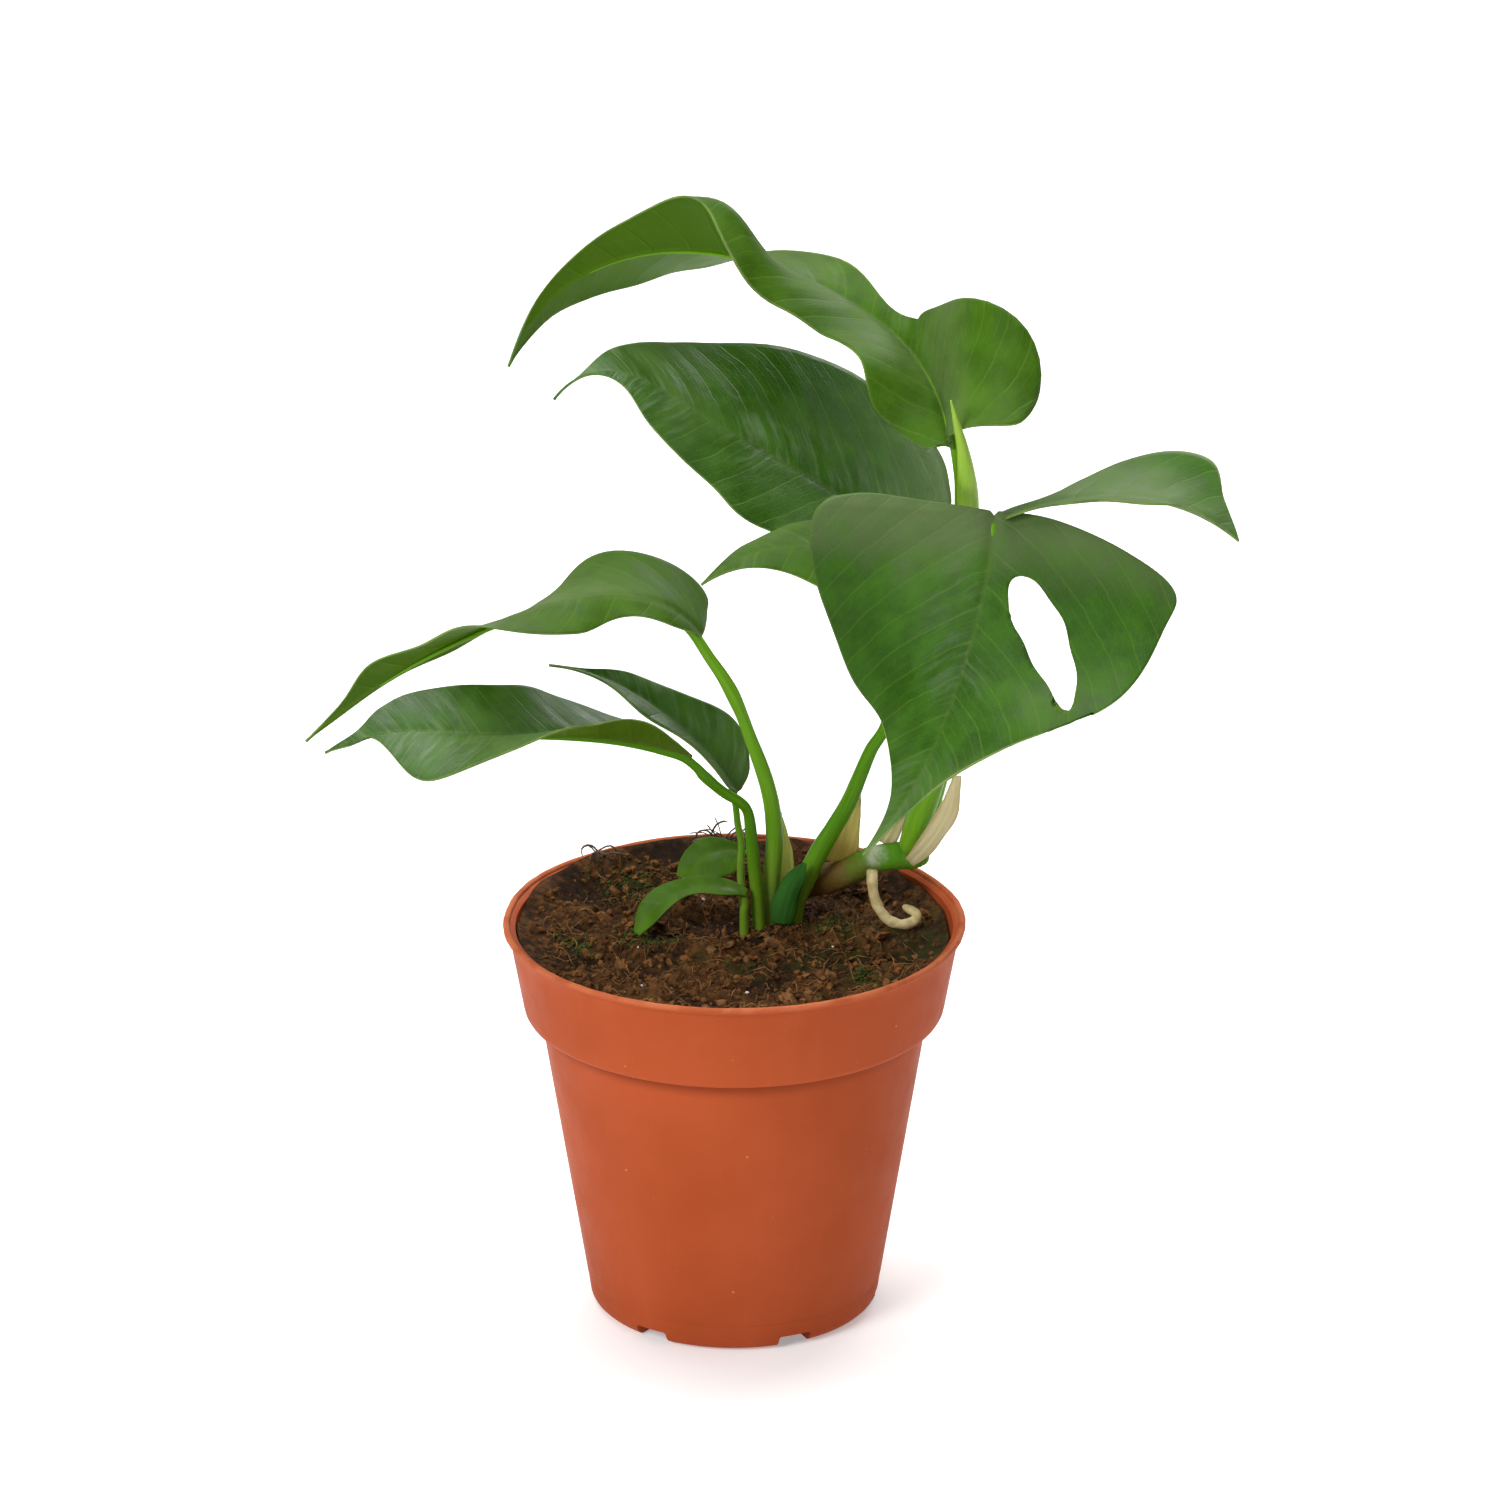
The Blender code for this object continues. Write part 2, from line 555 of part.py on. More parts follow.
def front_leaf(group, cutters, look):
    """The big front leaf: its blade, its side lobe joined at the neck, and its hole."""
    made = blade(
        "front_leaf", LEAVES["front_leaf"], group, look, LEAF_THICKNESS, rows=18, columns=12
    )
    lobe = blade("side_lobe", SIDE_LOBE, cutters, look, LEAF_THICKNESS, rows=12, columns=6)
    lobe.hide_render = True
    lobe.display_type = "WIRE"
    join = made.modifiers.new("side lobe", "BOOLEAN")
    join.operation = "UNION"
    join.solver = "EXACT"
    join.object = lobe
    bm = bmesh.new()
    ring = bmesh.ops.create_circle(bm, cap_ends=True, segments=24, radius=1)["verts"]
    tilt = math.radians(HOLE_TURN)
    across = HOLE_HALF[1] * np.array([v.co.x * (1 - HOLE_TAPER * v.co.y) for v in ring])
    along = HOLE_HALF[0] * np.array([v.co.y for v in ring])
    ahead_by = HOLE_CENTRE[0] + across * math.cos(tilt) + along * math.sin(tilt)
    out_by = HOLE_CENTRE[1] - across * math.sin(tilt) + along * math.cos(tilt)
    places = bend(LEAVES["front_leaf"], ahead_by, out_by)
    middle = places.mean(0)
    outward = np.cross(places[0] - middle, places[6] - middle)
    outward *= 8 / np.linalg.norm(outward)
    for vertex, place in zip(ring, places):
        vertex.co = place - outward
    deep = bmesh.ops.extrude_face_region(bm, geom=bm.faces[:])["geom"]
    moved = [part for part in deep if isinstance(part, bmesh.types.BMVert)]
    bmesh.ops.translate(bm, vec=outward * 2, verts=moved)
    bmesh.ops.recalc_face_normals(bm, faces=bm.faces)
    cut(made, add("leaf_hole", finish(bm, "leaf_hole"), cutters))
    return made


def main():
    clear_scene()
    plant = collection("potted_monstera")
    cutters = collection("cutters", hidden=True)
    looks = {
        "leaf": material("leaf_green", GREEN, 0.35),
        "stalk": material("stalk_green", LIGHT_GREEN, 0.45),
        "stem": material("stem_green", DARK_GREEN, 0.5),
        "sheath": material("dry_sheath", CREAM, 0.6),
        "root": material("root_cream", ROOT, 0.65),
        "soil": material("peat_soil", EARTH, 0.95),
        "pot": material("terracotta_plastic", TERRACOTTA, 0.5),
    }
    pot(plant, cutters, looks["pot"])
    soil(plant, cutters, looks["soil"])
    for name, leaf in LEAVES.items():
        if name == "front_leaf":
            front_leaf(plant, cutters, looks["leaf"])
        elif leaf["length"] < SMALL_LEAF:
            blade(name, leaf, plant, looks["leaf"], LEAF_THICKNESS, rows=8, columns=4)
        else:
            blade(name, leaf, plant, looks["leaf"], LEAF_THICKNESS)
    for name, sheath in SHEATHS.items():
        blade(name, sheath, plant, looks["sheath"], SHEATH_THICKNESS, rows=6, columns=4)
    for name, stem in STEMS.items():
        kind = {"main_stem": "stem", "aerial_root": "root"}.get(name, "stalk")
        tube(name, stem, plant, looks[kind])


main()
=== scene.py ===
"""The visible model of a young monstera in a plastic nursery pot.

Lengths are in millimetres and angles in degrees until a mesh is finished, and the finished
meshes are in metres.
"""

import math
import random

import bmesh
import bpy
import numpy as np
from mathutils import Matrix, Vector, noise


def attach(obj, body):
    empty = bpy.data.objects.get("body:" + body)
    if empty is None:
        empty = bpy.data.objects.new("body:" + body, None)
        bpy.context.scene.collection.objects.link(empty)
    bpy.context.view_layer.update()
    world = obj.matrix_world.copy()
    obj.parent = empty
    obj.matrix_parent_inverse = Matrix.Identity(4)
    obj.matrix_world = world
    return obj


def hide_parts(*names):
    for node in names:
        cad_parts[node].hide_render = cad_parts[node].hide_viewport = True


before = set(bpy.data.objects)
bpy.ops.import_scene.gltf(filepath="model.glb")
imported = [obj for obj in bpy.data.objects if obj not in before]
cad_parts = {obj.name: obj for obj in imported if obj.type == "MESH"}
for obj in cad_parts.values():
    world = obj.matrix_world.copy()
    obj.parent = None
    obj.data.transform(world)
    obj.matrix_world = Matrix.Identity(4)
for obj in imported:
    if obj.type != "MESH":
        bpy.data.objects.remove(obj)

MM = 0.001
ROOT = "root"

# Pot
POT_HEIGHT = 93.0
RIM_RADIUS = 52.5
COLLAR_TOP_RADIUS = 51.2
COLLAR_FOOT_RADIUS = 47.7
COLLAR_FOOT = 71.7
SHOULDER_RADIUS = 44.2
FOOT_RADIUS = 33.2
FOOT_ROUND = 3.0
WALL = 1.3
FLOOR = 1.8
NOTCH_COUNT = 6
NOTCH_WIDTH = 8.0
NOTCH_HEIGHT = 3.0
NOTCH_TURN = -35.0
PART_LINE = 6.5  # height of the mould's parting line
COLLAR_LIP = ((0.1, 0.8), (-0.25, 0.2), (-0.8, -0.1))  # out and up from the collar's foot
SHOULDER_STEP = ((1.2, 0.5), (0.2, 1.1), (-0.2, 2.2))  # out and down from there

# Soil
SOIL_LEVEL = 86.6
SOIL_RISE_BACK = 0.06
SOIL_FALL_RIGHT = 0.02
SOIL_EDGE_RISE = 3.4  # how far the soil climbs against the pot's wall,
SOIL_EDGE_RADIUS = 48  # from how far out,
SOIL_EDGE_POWER = 8  # and how suddenly
SOIL_MOUND = 0.4
MOUND_PLACE = (6, 11)
SOIL_RINGS = 84
SOIL_SEGMENTS = 300
FIBRE_COUNT = 300
# What lies strewn on the soil. The sizes run from least by up to span, small ones oftener
# with a higher power. A lump's middle stands rise and lift sizes over the soil. form is how
# flat, how rough and how finely divided it is.
LUMPS = {
    "soil_crumbs": dict(
        seed=5, count=2600, least=0.28, span=0.8, power=3, rise=0.0, lift=0.2,
        form=(0.7, 0.75, 1), sharp=18,
    ),
    "bark_chips": dict(
        seed=11, count=60, least=0.9, span=1.1, power=1, rise=0.3, lift=0.0,
        form=(0.5, 0.8, 2), sharp=18,
    ),
    "perlite_grains": dict(
        seed=3, count=14, least=0.2, span=0.22, power=1, rise=0.2, lift=0.0,
        form=(0.9, 0.5, 2), sharp=None,
    ),
}
MOSS_PATCHES = (
    (23, 9, 5), (29, -14, 2.5), (-22, 2, 5), (-36, -2, 5), (-25, 29, 9), (-15, 1, 4),
)  # each: middle x, middle y, spread
RIM_ROOTS = ((-2.5, 46.5, 3.2, 22), (-32, 35.5, 1.4, 6))  # the same, and how many roots

# Leaves
LEAF_THICKNESS = 0.5
SHEATH_THICKNESS = 0.35
TIP_WIDTH = 0.25
VEIN_SPACING = 8.5
VEIN_LEAN = 0.62
VEIN_ARCH = 0.008
QUILT = 0.10  # how deep the side veins lie in a blade, and deeper in the glossy ones
GLOSSY_QUILT = 0.08

# Each leaf: where its blade starts, how long it is, and lists that run evenly from base
# to tip. heading turns about +Z from +X, pitch is up from the horizontal, and roll lifts
# the left side. fold lifts each half (left, right) and curl bends it down again over the
# width given by wide. left and right are outline points: along the midrib, and out from it.
# hump raises the blade round one place: along, out, its half length, half width and height.
LEAVES = {
    "top_leaf": dict(
        start=(48.5, 13, 202), length=147, wide=25,
        heading=[94, 125, 164, 195, 225], pitch=[28, 19, 14, -13, -62],
        roll=[-48, -19, 10, 42, 71],
        fold=([38, 54, 26, 24, 59, 45, 0], [66, 50, 16, -4, -7, -15, -13]),
        curl=([22, 28, 51, 75, 83, 62, 35], [110, 9, -26, -21, 2, 10, 12]),
        rib=[0, 3, 10, 22, 34, 47, 66, 86, 107, 127, 147],
        left=[(1, 1), (1, 6), (9, 13), (19, 17), (50, 17), (82, 22), (92, 17),
              (108, 9), (124, 4), (147, 0)],
        right=[(1, 1), (-7, 14), (-10, 28), (10, 33), (34, 11), (37, 6), (48, 5),
               (70, 16), (86, 23), (98, 16), (120, 8), (147, 0)],
        hump=(84, 12, 11, 6, 7),
    ),
    "left_leaf": dict(
        start=(37, 37, 172), length=93, wide=22,
        heading=[158, 182, 187, 192, 205], pitch=[34, 32, 33, 29, -50],
        roll=[-31, -35, -36, -33, -31],
        fold=([6, 6, -5, -3], [-3, 8, -8, -8]),
        curl=([10, 8, 8, 4], [20, 7, 19, 13]),
        left=[(-2, 1), (-1, 10), (18, 18), (29, 20), (38, 20), (47, 16), (65, 10),
              (80, 1), (93, 0)],
        right=[(-2, 1), (-5, 14), (-1, 23), (11, 33), (50, 28), (64, 21), (75, 9),
               (84, 1), (93, 0)],
    ),
    "front_leaf": dict(
        start=(58, -1, 190.8), length=84, wide=35,
        heading=[264, 244, 228, 203], pitch=[-51, -53, -52, -41],
        roll=[-4, 0, 4, 8],
        fold=([-1, -5, 5, 3], [4, 0, -4, -2]),
        curl=([13, 15, 7, 7], [7, 10, 11, 8]),
        left=[(-1, 1), (0, 13), (5, 30), (11, 42), (19, 41), (37, 35), (52, 18),
              (68, 5), (84, 0)],
        right=[(-1, 1), (-2, 14), (-3, 31), (2, 40), (20, 40), (42, 31), (53, 18),
               (69, 6), (84, 0)],
    ),
    "behind_leaf": dict(
        start=(38, 17, 172.4), length=49, wide=12,
        heading=[187, 190, 193, 199], pitch=[26, 10, -10, -40],
        roll=[-28, -22, -16, -9],
        fold=([1, -3, 1], [1, -5, -2]), curl=([14, 14, 6], [13, 13, 6]),
        left=[(-1, 1), (1, 9), (9, 13), (20, 13), (32, 6), (43, 2), (49, 0)],
        right=[(-1, 1), (1, 8), (11, 11), (24, 10), (34, 6), (42, 2), (49, 0)],
    ),
    "upper_left_leaf": dict(
        start=(-7, 12, 157), length=105, wide=15,
        heading=[207, 201, 189, 188, 192], pitch=[57, 8, -19, -31, -42],
        roll=[-38, -13, 16, 42, 66],
        fold=([1, -11, 13, 8], [4, -16, -11, -5]),
        curl=([21, 25, 3, 1], [7, -6, 6, 3]),
        left=[(1, 1), (10, 5), (27, 7), (39, 12), (56, 14), (71, 6), (83, 7),
              (93, 2), (105, 0)],
        right=[(0, 1), (0, 8), (3, 15), (25, 20), (41, 12), (57, 7), (79, 2),
               (95, 1), (105, 0)],
    ),
    "lower_left_leaf": dict(
        start=(-10, 3, 131), length=91, wide=14,
        heading=[204, 214, 203, 183, 176], pitch=[28, 18, 9, 2, -31],
        roll=[0, -11, -22, -32, -39],
        fold=([74, 61, 40, 5, 0], [17, 6, 16, 5, 1]),
        curl=([0, 0, 0, 0, 0], [2, 7, -1, 1, 0]),
        left=[(0, 1), (6, 3), (17, 7), (32, 7), (42, 11), (61, 15), (70, 13),
              (79, 1), (85, 1), (91, 0)],
        right=[(0, 1), (2, 5), (8, 10), (26, 14), (47, 13), (68, 11), (77, 7),
               (83, 2), (91, 0)],
    ),
    "small_back_leaf": dict(
        start=(1, 20, 116), length=56, wide=10,
        heading=[172, 182, 190, 198], pitch=[61, 43, 32, 11],
        roll=[-21, -20, -20, -20],
        fold=([18, 14, 9], [22, 15, 9]), curl=([4, 6, 4], [0, 0, 0]),
        left=[(0, 1), (5, 5), (15, 5), (27, 7), (36, 6), (46, 1), (56, 0)],
        right=[(0, 1), (3, 6), (12, 11), (23, 8), (36, 5), (47, 1), (56, 0)],
    ),
    "low_front_leaf": dict(
        start=(3, 6, 97), length=30, wide=5,
        heading=[181, 191, 202], pitch=[27, -18, -64], roll=[-26, -24, -22],
        fold=([0, 2], [7, 7]), curl=([9, 8], [4, 4]),
        left=[(0, 1), (6, 3), (14, 2), (24, 3), (30, 1)],
        right=[(0, 1), (6, 2), (14, 3), (23, 4), (30, 1)],
    ),
    "low_back_leaf": dict(
        start=(2, 23.5, 100.4), length=17, wide=6,
        heading=[190, 191, 192], pitch=[16, -21, -59], roll=[-36, -36, -36],
        fold=([2, 1], [5, 6]), curl=([8, 8], [5, 4]),
        left=[(0, 1), (2, 6), (7, 7), (13, 6), (17, 1)],
        right=[(0, 1), (3, 2), (8, 4), (13, 3), (17, 1)],
    ),
}

# The front leaf's side lobe, cut off from the rest by a split that stops at a narrow neck.
SIDE_LOBE = dict(
    start=(60, -2, 190.8), length=57, wide=15,
    heading=[19, 12, 5, -4], pitch=[16, 1, -17, -42], roll=[-3, -5, -4, -3],
    fold=([6, 6, 22], [4, 9, 20]), curl=([5, -3, -18], [5, 6, -3]),
    left=[(0, 2), (11, 3), (21, 11), (32, 20), (46, 21), (51, 10), (57, 0)],
    right=[(0, 2), (11, 4), (21, 6), (32, 10), (42, 8), (50, 4), (57, 0)],
)
# The hole between two side veins of the front leaf: its middle, half sizes and turn.
HOLE_CENTRE = (27, 17)
HOLE_HALF = (17, 4.6)
HOLE_TURN = 50.0
HOLE_TAPER = 0.35  # how much narrower its outer end is

# Dry sheaths that wrap the stalks' feet, made the same way as the leaves.
SHEATH_FORM = dict(heading=[0, 0], roll=[90, 90], fold=([0, 0], [0, 0]))
SHEATHS = {
    "left_sheath": dict(
        look="wing_sheath", start=(11.7, 15, 91), length=22, wide=3,
        pitch=[88, 98], curl=([50, 30], [50, 30]),
        left=[(0, 1.4), (8, 1.7), (15, 1.4), (22, 0)],
        right=[(0, 1.4), (8, 2.0), (14, 1.4), (22, 0)],
    ),
    "foot_sheath": dict(
        look="green_sheath", start=(11, 7.2, 88.6), length=16, wide=3,
        pitch=[84, 58], curl=([50, 40], [50, 40]),
        left=[(0, 2.6), (5, 3.5), (11, 2.6), (16, 0.5)],
        right=[(0, 2), (5, 2.7), (11, 2.2), (16, 0.4)],
    ),
    "middle_sheath": dict(
        look="brown_sheath", start=(25.2, 15.3, 102.6), length=18.5, wide=4,
        pitch=[78, 80], curl=([5, 10], [30, 30]),
        left=[(0, 4.2), (6, 3.8), (12, 2.2), (18.5, 0)],
        right=[(2.2, 3.0), (7, 2.4), (12, 1.4), (18.5, 0)],
    ),
    "inner_sheath": dict(
        look="cream_sheath", start=(35.8, 15.8, 106.8), length=12, wide=3,
        pitch=[62, 70], curl=([20, 20], [20, 20]),
        left=[(0, 2), (4, 1.7), (8, 1.1), (12, 0)],
        right=[(0, 2), (4, 1.4), (8, 0.8), (12, 0)],
    ),
    "right_sheath": dict(
        look="cream_sheath", start=(41.8, 8.9, 104.6), length=22, wide=3,
        pitch=[46, 86], curl=([20, 20], [60, 60]),
        left=[(0, 1.6), (7, 2.8), (14, 2.4), (22, 1)],
        right=[(0, 1.0), (7, 2.2), (14, 2.1), (22, 0.8)],
    ),
}

# Round stems: points along the middle, each with its radius.
STEMS = {
    "main_stem": [
        (12.8, 19, 82, 2.4), (13, 18.8, 90, 2.8), (16.6, 17.9, 94, 3.2),
        (22.8, 16.4, 96.6, 3.6), (28.5, 15.2, 99.6, 3.3), (32, 14.6, 101.6, 3.1),
        (36.7, 14, 102.6, 3.1), (41.2, 14, 102.6, 2.8), (43.5, 14, 102.4, 1.9),
    ],
    "front_leaf_stalk": [
        (40.0, 13.2, 106.0, 2.5), (41.6, 13, 111, 2.9), (43.6, 13, 117, 2.9),
        (45.8, 13, 124, 2.6), (48.9, 13, 136, 2.2), (52.2, 12, 151, 1.8),
        (55, 10, 166, 1.5), (57, 6, 179, 1.2), (57.9, 1.2, 188.4, 1.0),
    ],
    "top_leaf_stalk": [
        (42.8, 16.7, 104.5, 1.3), (45.6, 18.2, 114, 1.6), (48.4, 18, 126, 1.5),
        (51, 17.6, 140, 1.4), (51.6, 17.2, 157, 1.2), (51.2, 16.6, 173, 1.1),
        (50.4, 15.4, 187, 1.0), (49.6, 13.8, 200.2, 0.9),
    ],
    "left_leaf_stalk": [
        (39.2, 17.3, 105.0, 1.1), (41.4, 19.5, 114, 1.4), (44, 22, 125, 1.4),
        (45.2, 26.5, 139, 1.3), (42.4, 32, 154, 1.1), (39, 36.6, 166, 1.0),
        (37.8, 37.4, 170.4, 0.9),
    ],
    "behind_leaf_stalk": [
        (13.2, 11.5, 84, 2.0), (14, 11.5, 92, 2.2), (16.1, 11.8, 97.5, 2.3),
        (19.5, 12.2, 104.8, 2.2), (22.3, 12.6, 109.6, 2.0), (25.9, 13, 116, 1.9),
        (28.4, 13, 122.4, 1.7), (31, 13, 129, 1.5), (34.1, 13.4, 134.3, 1.3),
        (37, 14.6, 144, 1.0), (38.4, 16, 157, 1.0), (38.2, 17, 170.8, 0.8),
    ],
    "upper_left_leaf_stalk": [
        (7.9, 13, 82, 2.0), (7.9, 13, 90, 2.0), (8.5, 13, 98, 2.0), (9.1, 13, 106, 2.0),
        (8.8, 13, 113, 1.9), (7.8, 13, 119, 1.8), (6.1, 13, 125, 1.7),
        (3.6, 13, 132, 1.5), (1.2, 12.7, 139, 1.4), (-2.3, 12.3, 147, 1.4),
        (-6.6, 12, 155.6, 1.2),
    ],
    "lower_left_leaf_stalk": [
        (5.9, 9.4, 80, 1.5), (5.6, 9.4, 88, 1.5), (5.2, 9.4, 95, 1.5),
        (4.5, 9.4, 102, 1.5), (3.8, 9.2, 110, 1.4), (3.1, 8.8, 115.4, 1.2),
        (1.2, 7.8, 118.4, 1.2), (-2.8, 6.4, 121.6, 1.2), (-7, 4.6, 126.3, 1.1),
        (-9.2, 3.4, 130, 1.0),
    ],
    "small_back_leaf_stalk": [
        (2.4, 15.6, 82, 0.9), (2, 16, 90, 0.9), (1.5, 16.6, 96, 0.9),
        (1.5, 17.2, 100, 0.9), (1.6, 18, 104, 0.8), (0.9, 19, 108.5, 0.8),
        (0.9, 19.9, 114.6, 0.7),
    ],
    "low_front_leaf_stalk": [
        (2.4, 6.3, 80, 1.1), (2.3, 6.3, 87, 1.1), (2.3, 6.1, 92.4, 1.0), (3.1, 6, 95.7, 0.8),
    ],
    "low_back_leaf_stalk": [
        (5.4, 22.6, 82, 0.7), (5.2, 22.8, 91, 0.7), (3.9, 23.4, 98.6, 0.6),
        (3.2, 23.5, 99.9, 0.6),
    ],
    "new_leaf": [
        (52.2, 10, 170, 0.7), (52.8, 10.2, 178, 1.9), (52.4, 9, 189.5, 2.4),
        (51.9, 5.4, 197.3, 2.0), (50.9, 2, 205.3, 1.3), (49.5, -0.6, 211.9, 0.8),
        (48.1, -2.2, 218.2, 0.2),
    ],
    "aerial_root": [
        (31.4, 9.6, 98.4, 1.2), (31.8, 8.2, 95.4, 1.2), (33, 6.5, 92.7, 1.2),
        (35.3, 5, 90.5, 1.2), (38.4, 4.5, 89.7, 1.2), (41, 5, 90.4, 1.2),
        (41.4, 6.5, 91.5, 1.1), (39.2, 8, 92.3, 0.9),
    ],
}
# Blades with a high gloss, the two bright young ones, and stalks of the fresher green.
GLOSSY = ("left_leaf", "lower_left_leaf", "small_back_leaf")
BRIGHT = ("low_front_leaf", "low_back_leaf")
LUSH = ("behind_leaf", "lower_left_leaf", "low_front_leaf", "low_back_leaf")
# The sheaths that grow on the main stem, and how far their feet reach into it.
ON_STEM = ("middle_sheath", "inner_sheath", "right_sheath")
FOOT_DEPTH = 2.4

# Colours. A blade's face and back run from a darker to a lighter shade, and the light is
# what shines through. rough and shine are the face's. streaks, wax, dust and edge say how
# strong its painted sheen streaks, its painted sheen at grazing angles with its grey bloom
# patches, the painted sheen at its base and its pale margin are.
# The grey of the painted sheen and the bloom patches, and the paler painted sheen of the streaks.
GREY_SHEEN_AND_BLOOM = (0.16, 0.205, 0.09)
SHEEN = (0.36, 0.44, 0.30)
VEIN = (0.17, 0.29, 0.035)
PALE_EDGE = (0.5, 0.55, 0.2)
LEAF_LOOKS = {
    "deep": dict(
        face=((0.028, 0.092, 0.004), (0.048, 0.15, 0.005)), face_light=(0.12, 0.34, 0.0),
        back=((0.10, 0.20, 0.012), (0.20, 0.32, 0.05)), back_light=(0.2, 0.5, 0.0),
        rough=0.46, shine=0.15, streaks=0.13, sheen_and_bloom=0.6, base_sheen=0.62, edge=0.8,
    ),
    "glossy": dict(
        face=((0.030, 0.094, 0.004), (0.052, 0.15, 0.006)), face_light=(0.14, 0.38, 0.0),
        back=((0.10, 0.17, 0.006), (0.20, 0.30, 0.03)), back_light=(0.24, 0.5, 0.0),
        rough=0.36, shine=0.34, streaks=0.3, sheen_and_bloom=0.3, base_sheen=0.3, edge=0.1,
    ),
    "young": dict(
        face=((0.044, 0.115, 0.004), (0.068, 0.165, 0.006)), face_light=(0.24, 0.5, 0.0),
        back=((0.085, 0.165, 0.003), (0.14, 0.25, 0.01)), back_light=(0.28, 0.55, 0.0),
        rough=0.48, shine=0.1, streaks=0.12, sheen_and_bloom=0.42, base_sheen=0.0, edge=0.2,
    ),
    "bright": dict(
        face=((0.075, 0.185, 0.003), (0.13, 0.30, 0.005)), face_light=(0.3, 0.75, 0.0),
        back=((0.10, 0.22, 0.004), (0.18, 0.3, 0.02)), back_light=(0.35, 0.75, 0.0),
        rough=0.4, shine=0.25, streaks=0.1, sheen_and_bloom=0.1, base_sheen=0.1, edge=0.0,
    ),
}
# Stalks: the pale stripes, the deep ones, and the foot.
STALK_LOOKS = {
    "lush_stalk": ((0.105, 0.28, 0.003), (0.055, 0.18, 0.002), (0.20, 0.33, 0.03)),
    "pale_stalk": ((0.17, 0.37, 0.014), (0.10, 0.27, 0.006), (0.32, 0.42, 0.08)),
    "spear_skin": ((0.38, 0.55, 0.075), (0.23, 0.42, 0.04), (0.34, 0.5, 0.08)),
}
# Sheaths: light, dark, and the places along them between which one turns into the other.
SHEATH_LOOKS = {
    "cream_sheath": ((0.74, 0.67, 0.42), (0.42, 0.28, 0.11), (0.03, -0.02)),
    "brown_sheath": ((0.86, 0.80, 0.32), (0.22, 0.12, 0.035), (0.10, 0.02)),
    "green_sheath": ((0.060, 0.235, 0.032), (0.040, 0.165, 0.02), (0.10, 0.0)),
    "wing_sheath": ((0.80, 0.80, 0.34), (0.42, 0.5, 0.12), (0.16, 0.02)),
}
# Small dry things: two colours and how rough they are.
GRAINS = {
    "peat_crumb": ((0.045, 0.019, 0.006), (0.23, 0.098, 0.03), 0.9),
    "bark_chip": ((0.06, 0.026, 0.009), (0.22, 0.10, 0.035), 0.85),
    "peat_fibre": ((0.12, 0.05, 0.016), (0.34, 0.17, 0.06), 0.85),
    "perlite": ((0.6, 0.58, 0.54), (0.8, 0.78, 0.74), 0.85),
    "moss": ((0.028, 0.034, 0.007), (0.065, 0.085, 0.014), 0.85),
    "dry_rootlet": ((0.09, 0.06, 0.045), (0.26, 0.19, 0.14), 0.8),
    "root_skin": ((0.44, 0.34, 0.14), (0.70, 0.57, 0.31), 0.6),
}
# Flecks in the pot: their sizes, their shares, which random number picks them, the colour.
FLECKS = (
    ((0.13, 0.06), (0.9, 0.93), 0, (0.66, 0.28, 0.15)),
    ((0.1, 0.05), (0.95, 0.97), 1, (0.2, 0.05, 0.02)),
)
SCAR_PLACE = 31.8  # how far along X the main stem's scar lies

# Studio, in metres: each light's place, size and power
LIGHTS = {
    "key_light": ((-1.2, -1.4, 1.3), 0.9, 28),
    "top_light": ((-0.15, 0.4, 1.7), 1.5, 30),
    "back_light": ((0.6, 1.3, 0.95), 0.9, 9),
    "side_light": ((1.4, 0.2, 1.25), 0.7, 1.5),
}
LIGHTS_AIM = (0, 0, 0.12)
AIR_LIGHT = 0.24
FLOOR_HALF = 4000  # in millimetres
FLOOR_DROP = -0.0002
PALE_FLOOR = {
    "Base Color": (0.9, 0.9, 0.9, 1), "Roughness": 0.9, "Specular IOR Level": 0.0,
    "Emission Color": (1, 1, 1, 1), "Emission Strength": 0.3,
}
CAMERA_PLACE = (0.0036, -1.8608, 0.8671)
CAMERA_TILT = 68.5
CAMERA_LENS = 213.1


# ---------------------------------------------------------------- meshes


def smooth(values, where):
    """A smooth curve through evenly spaced values, read at places from 0 to 1."""
    values = np.asarray(values, float)
    last = len(values) - 1
    place = np.clip(np.asarray(where, float) * last, 0, last)
    step = np.minimum(place.astype(int), last - 1)
    part = place - step
    first, final = step > 0, step + 2 <= last
    if values.ndim > 1:
        part, first, final = part[..., None], first[..., None], final[..., None]
    here, after = values[step], values[step + 1]
    before = np.where(first, values[np.maximum(step - 1, 0)], 2 * here - after)
    beyond = np.where(final, values[np.minimum(step + 2, last)], 2 * after - here)
    cubic = 3 * (here - after) + beyond - before
    square = 2 * before - 5 * here + 4 * after - beyond
    return here + 0.5 * part * (after - before + part * (square + part * cubic))


def midrib(leaf, steps=90):
    """Places along the midrib with its points, directions, left sides and upper sides."""
    along = np.linspace(0, 1, steps + 1)
    turn, rise, roll = (
        np.radians(smooth(leaf[key], along)) for key in ("heading", "pitch", "roll")
    )
    level = np.cos(rise)
    ahead = np.stack([np.cos(turn) * level, np.sin(turn) * level, np.sin(rise)], -1)
    flat_left = np.stack([-np.sin(turn), np.cos(turn), 0 * turn], -1)
    flat_up = np.cross(ahead, flat_left)
    left = np.cos(roll)[:, None] * flat_left + np.sin(roll)[:, None] * flat_up
    points = np.zeros((steps + 1, 3)) + leaf["start"]
    stride = leaf["length"] / steps
    points[1:] += np.cumsum((ahead[1:] + ahead[:-1]) / 2 * stride, 0)
    return along, points, ahead, left, np.cross(ahead, left)


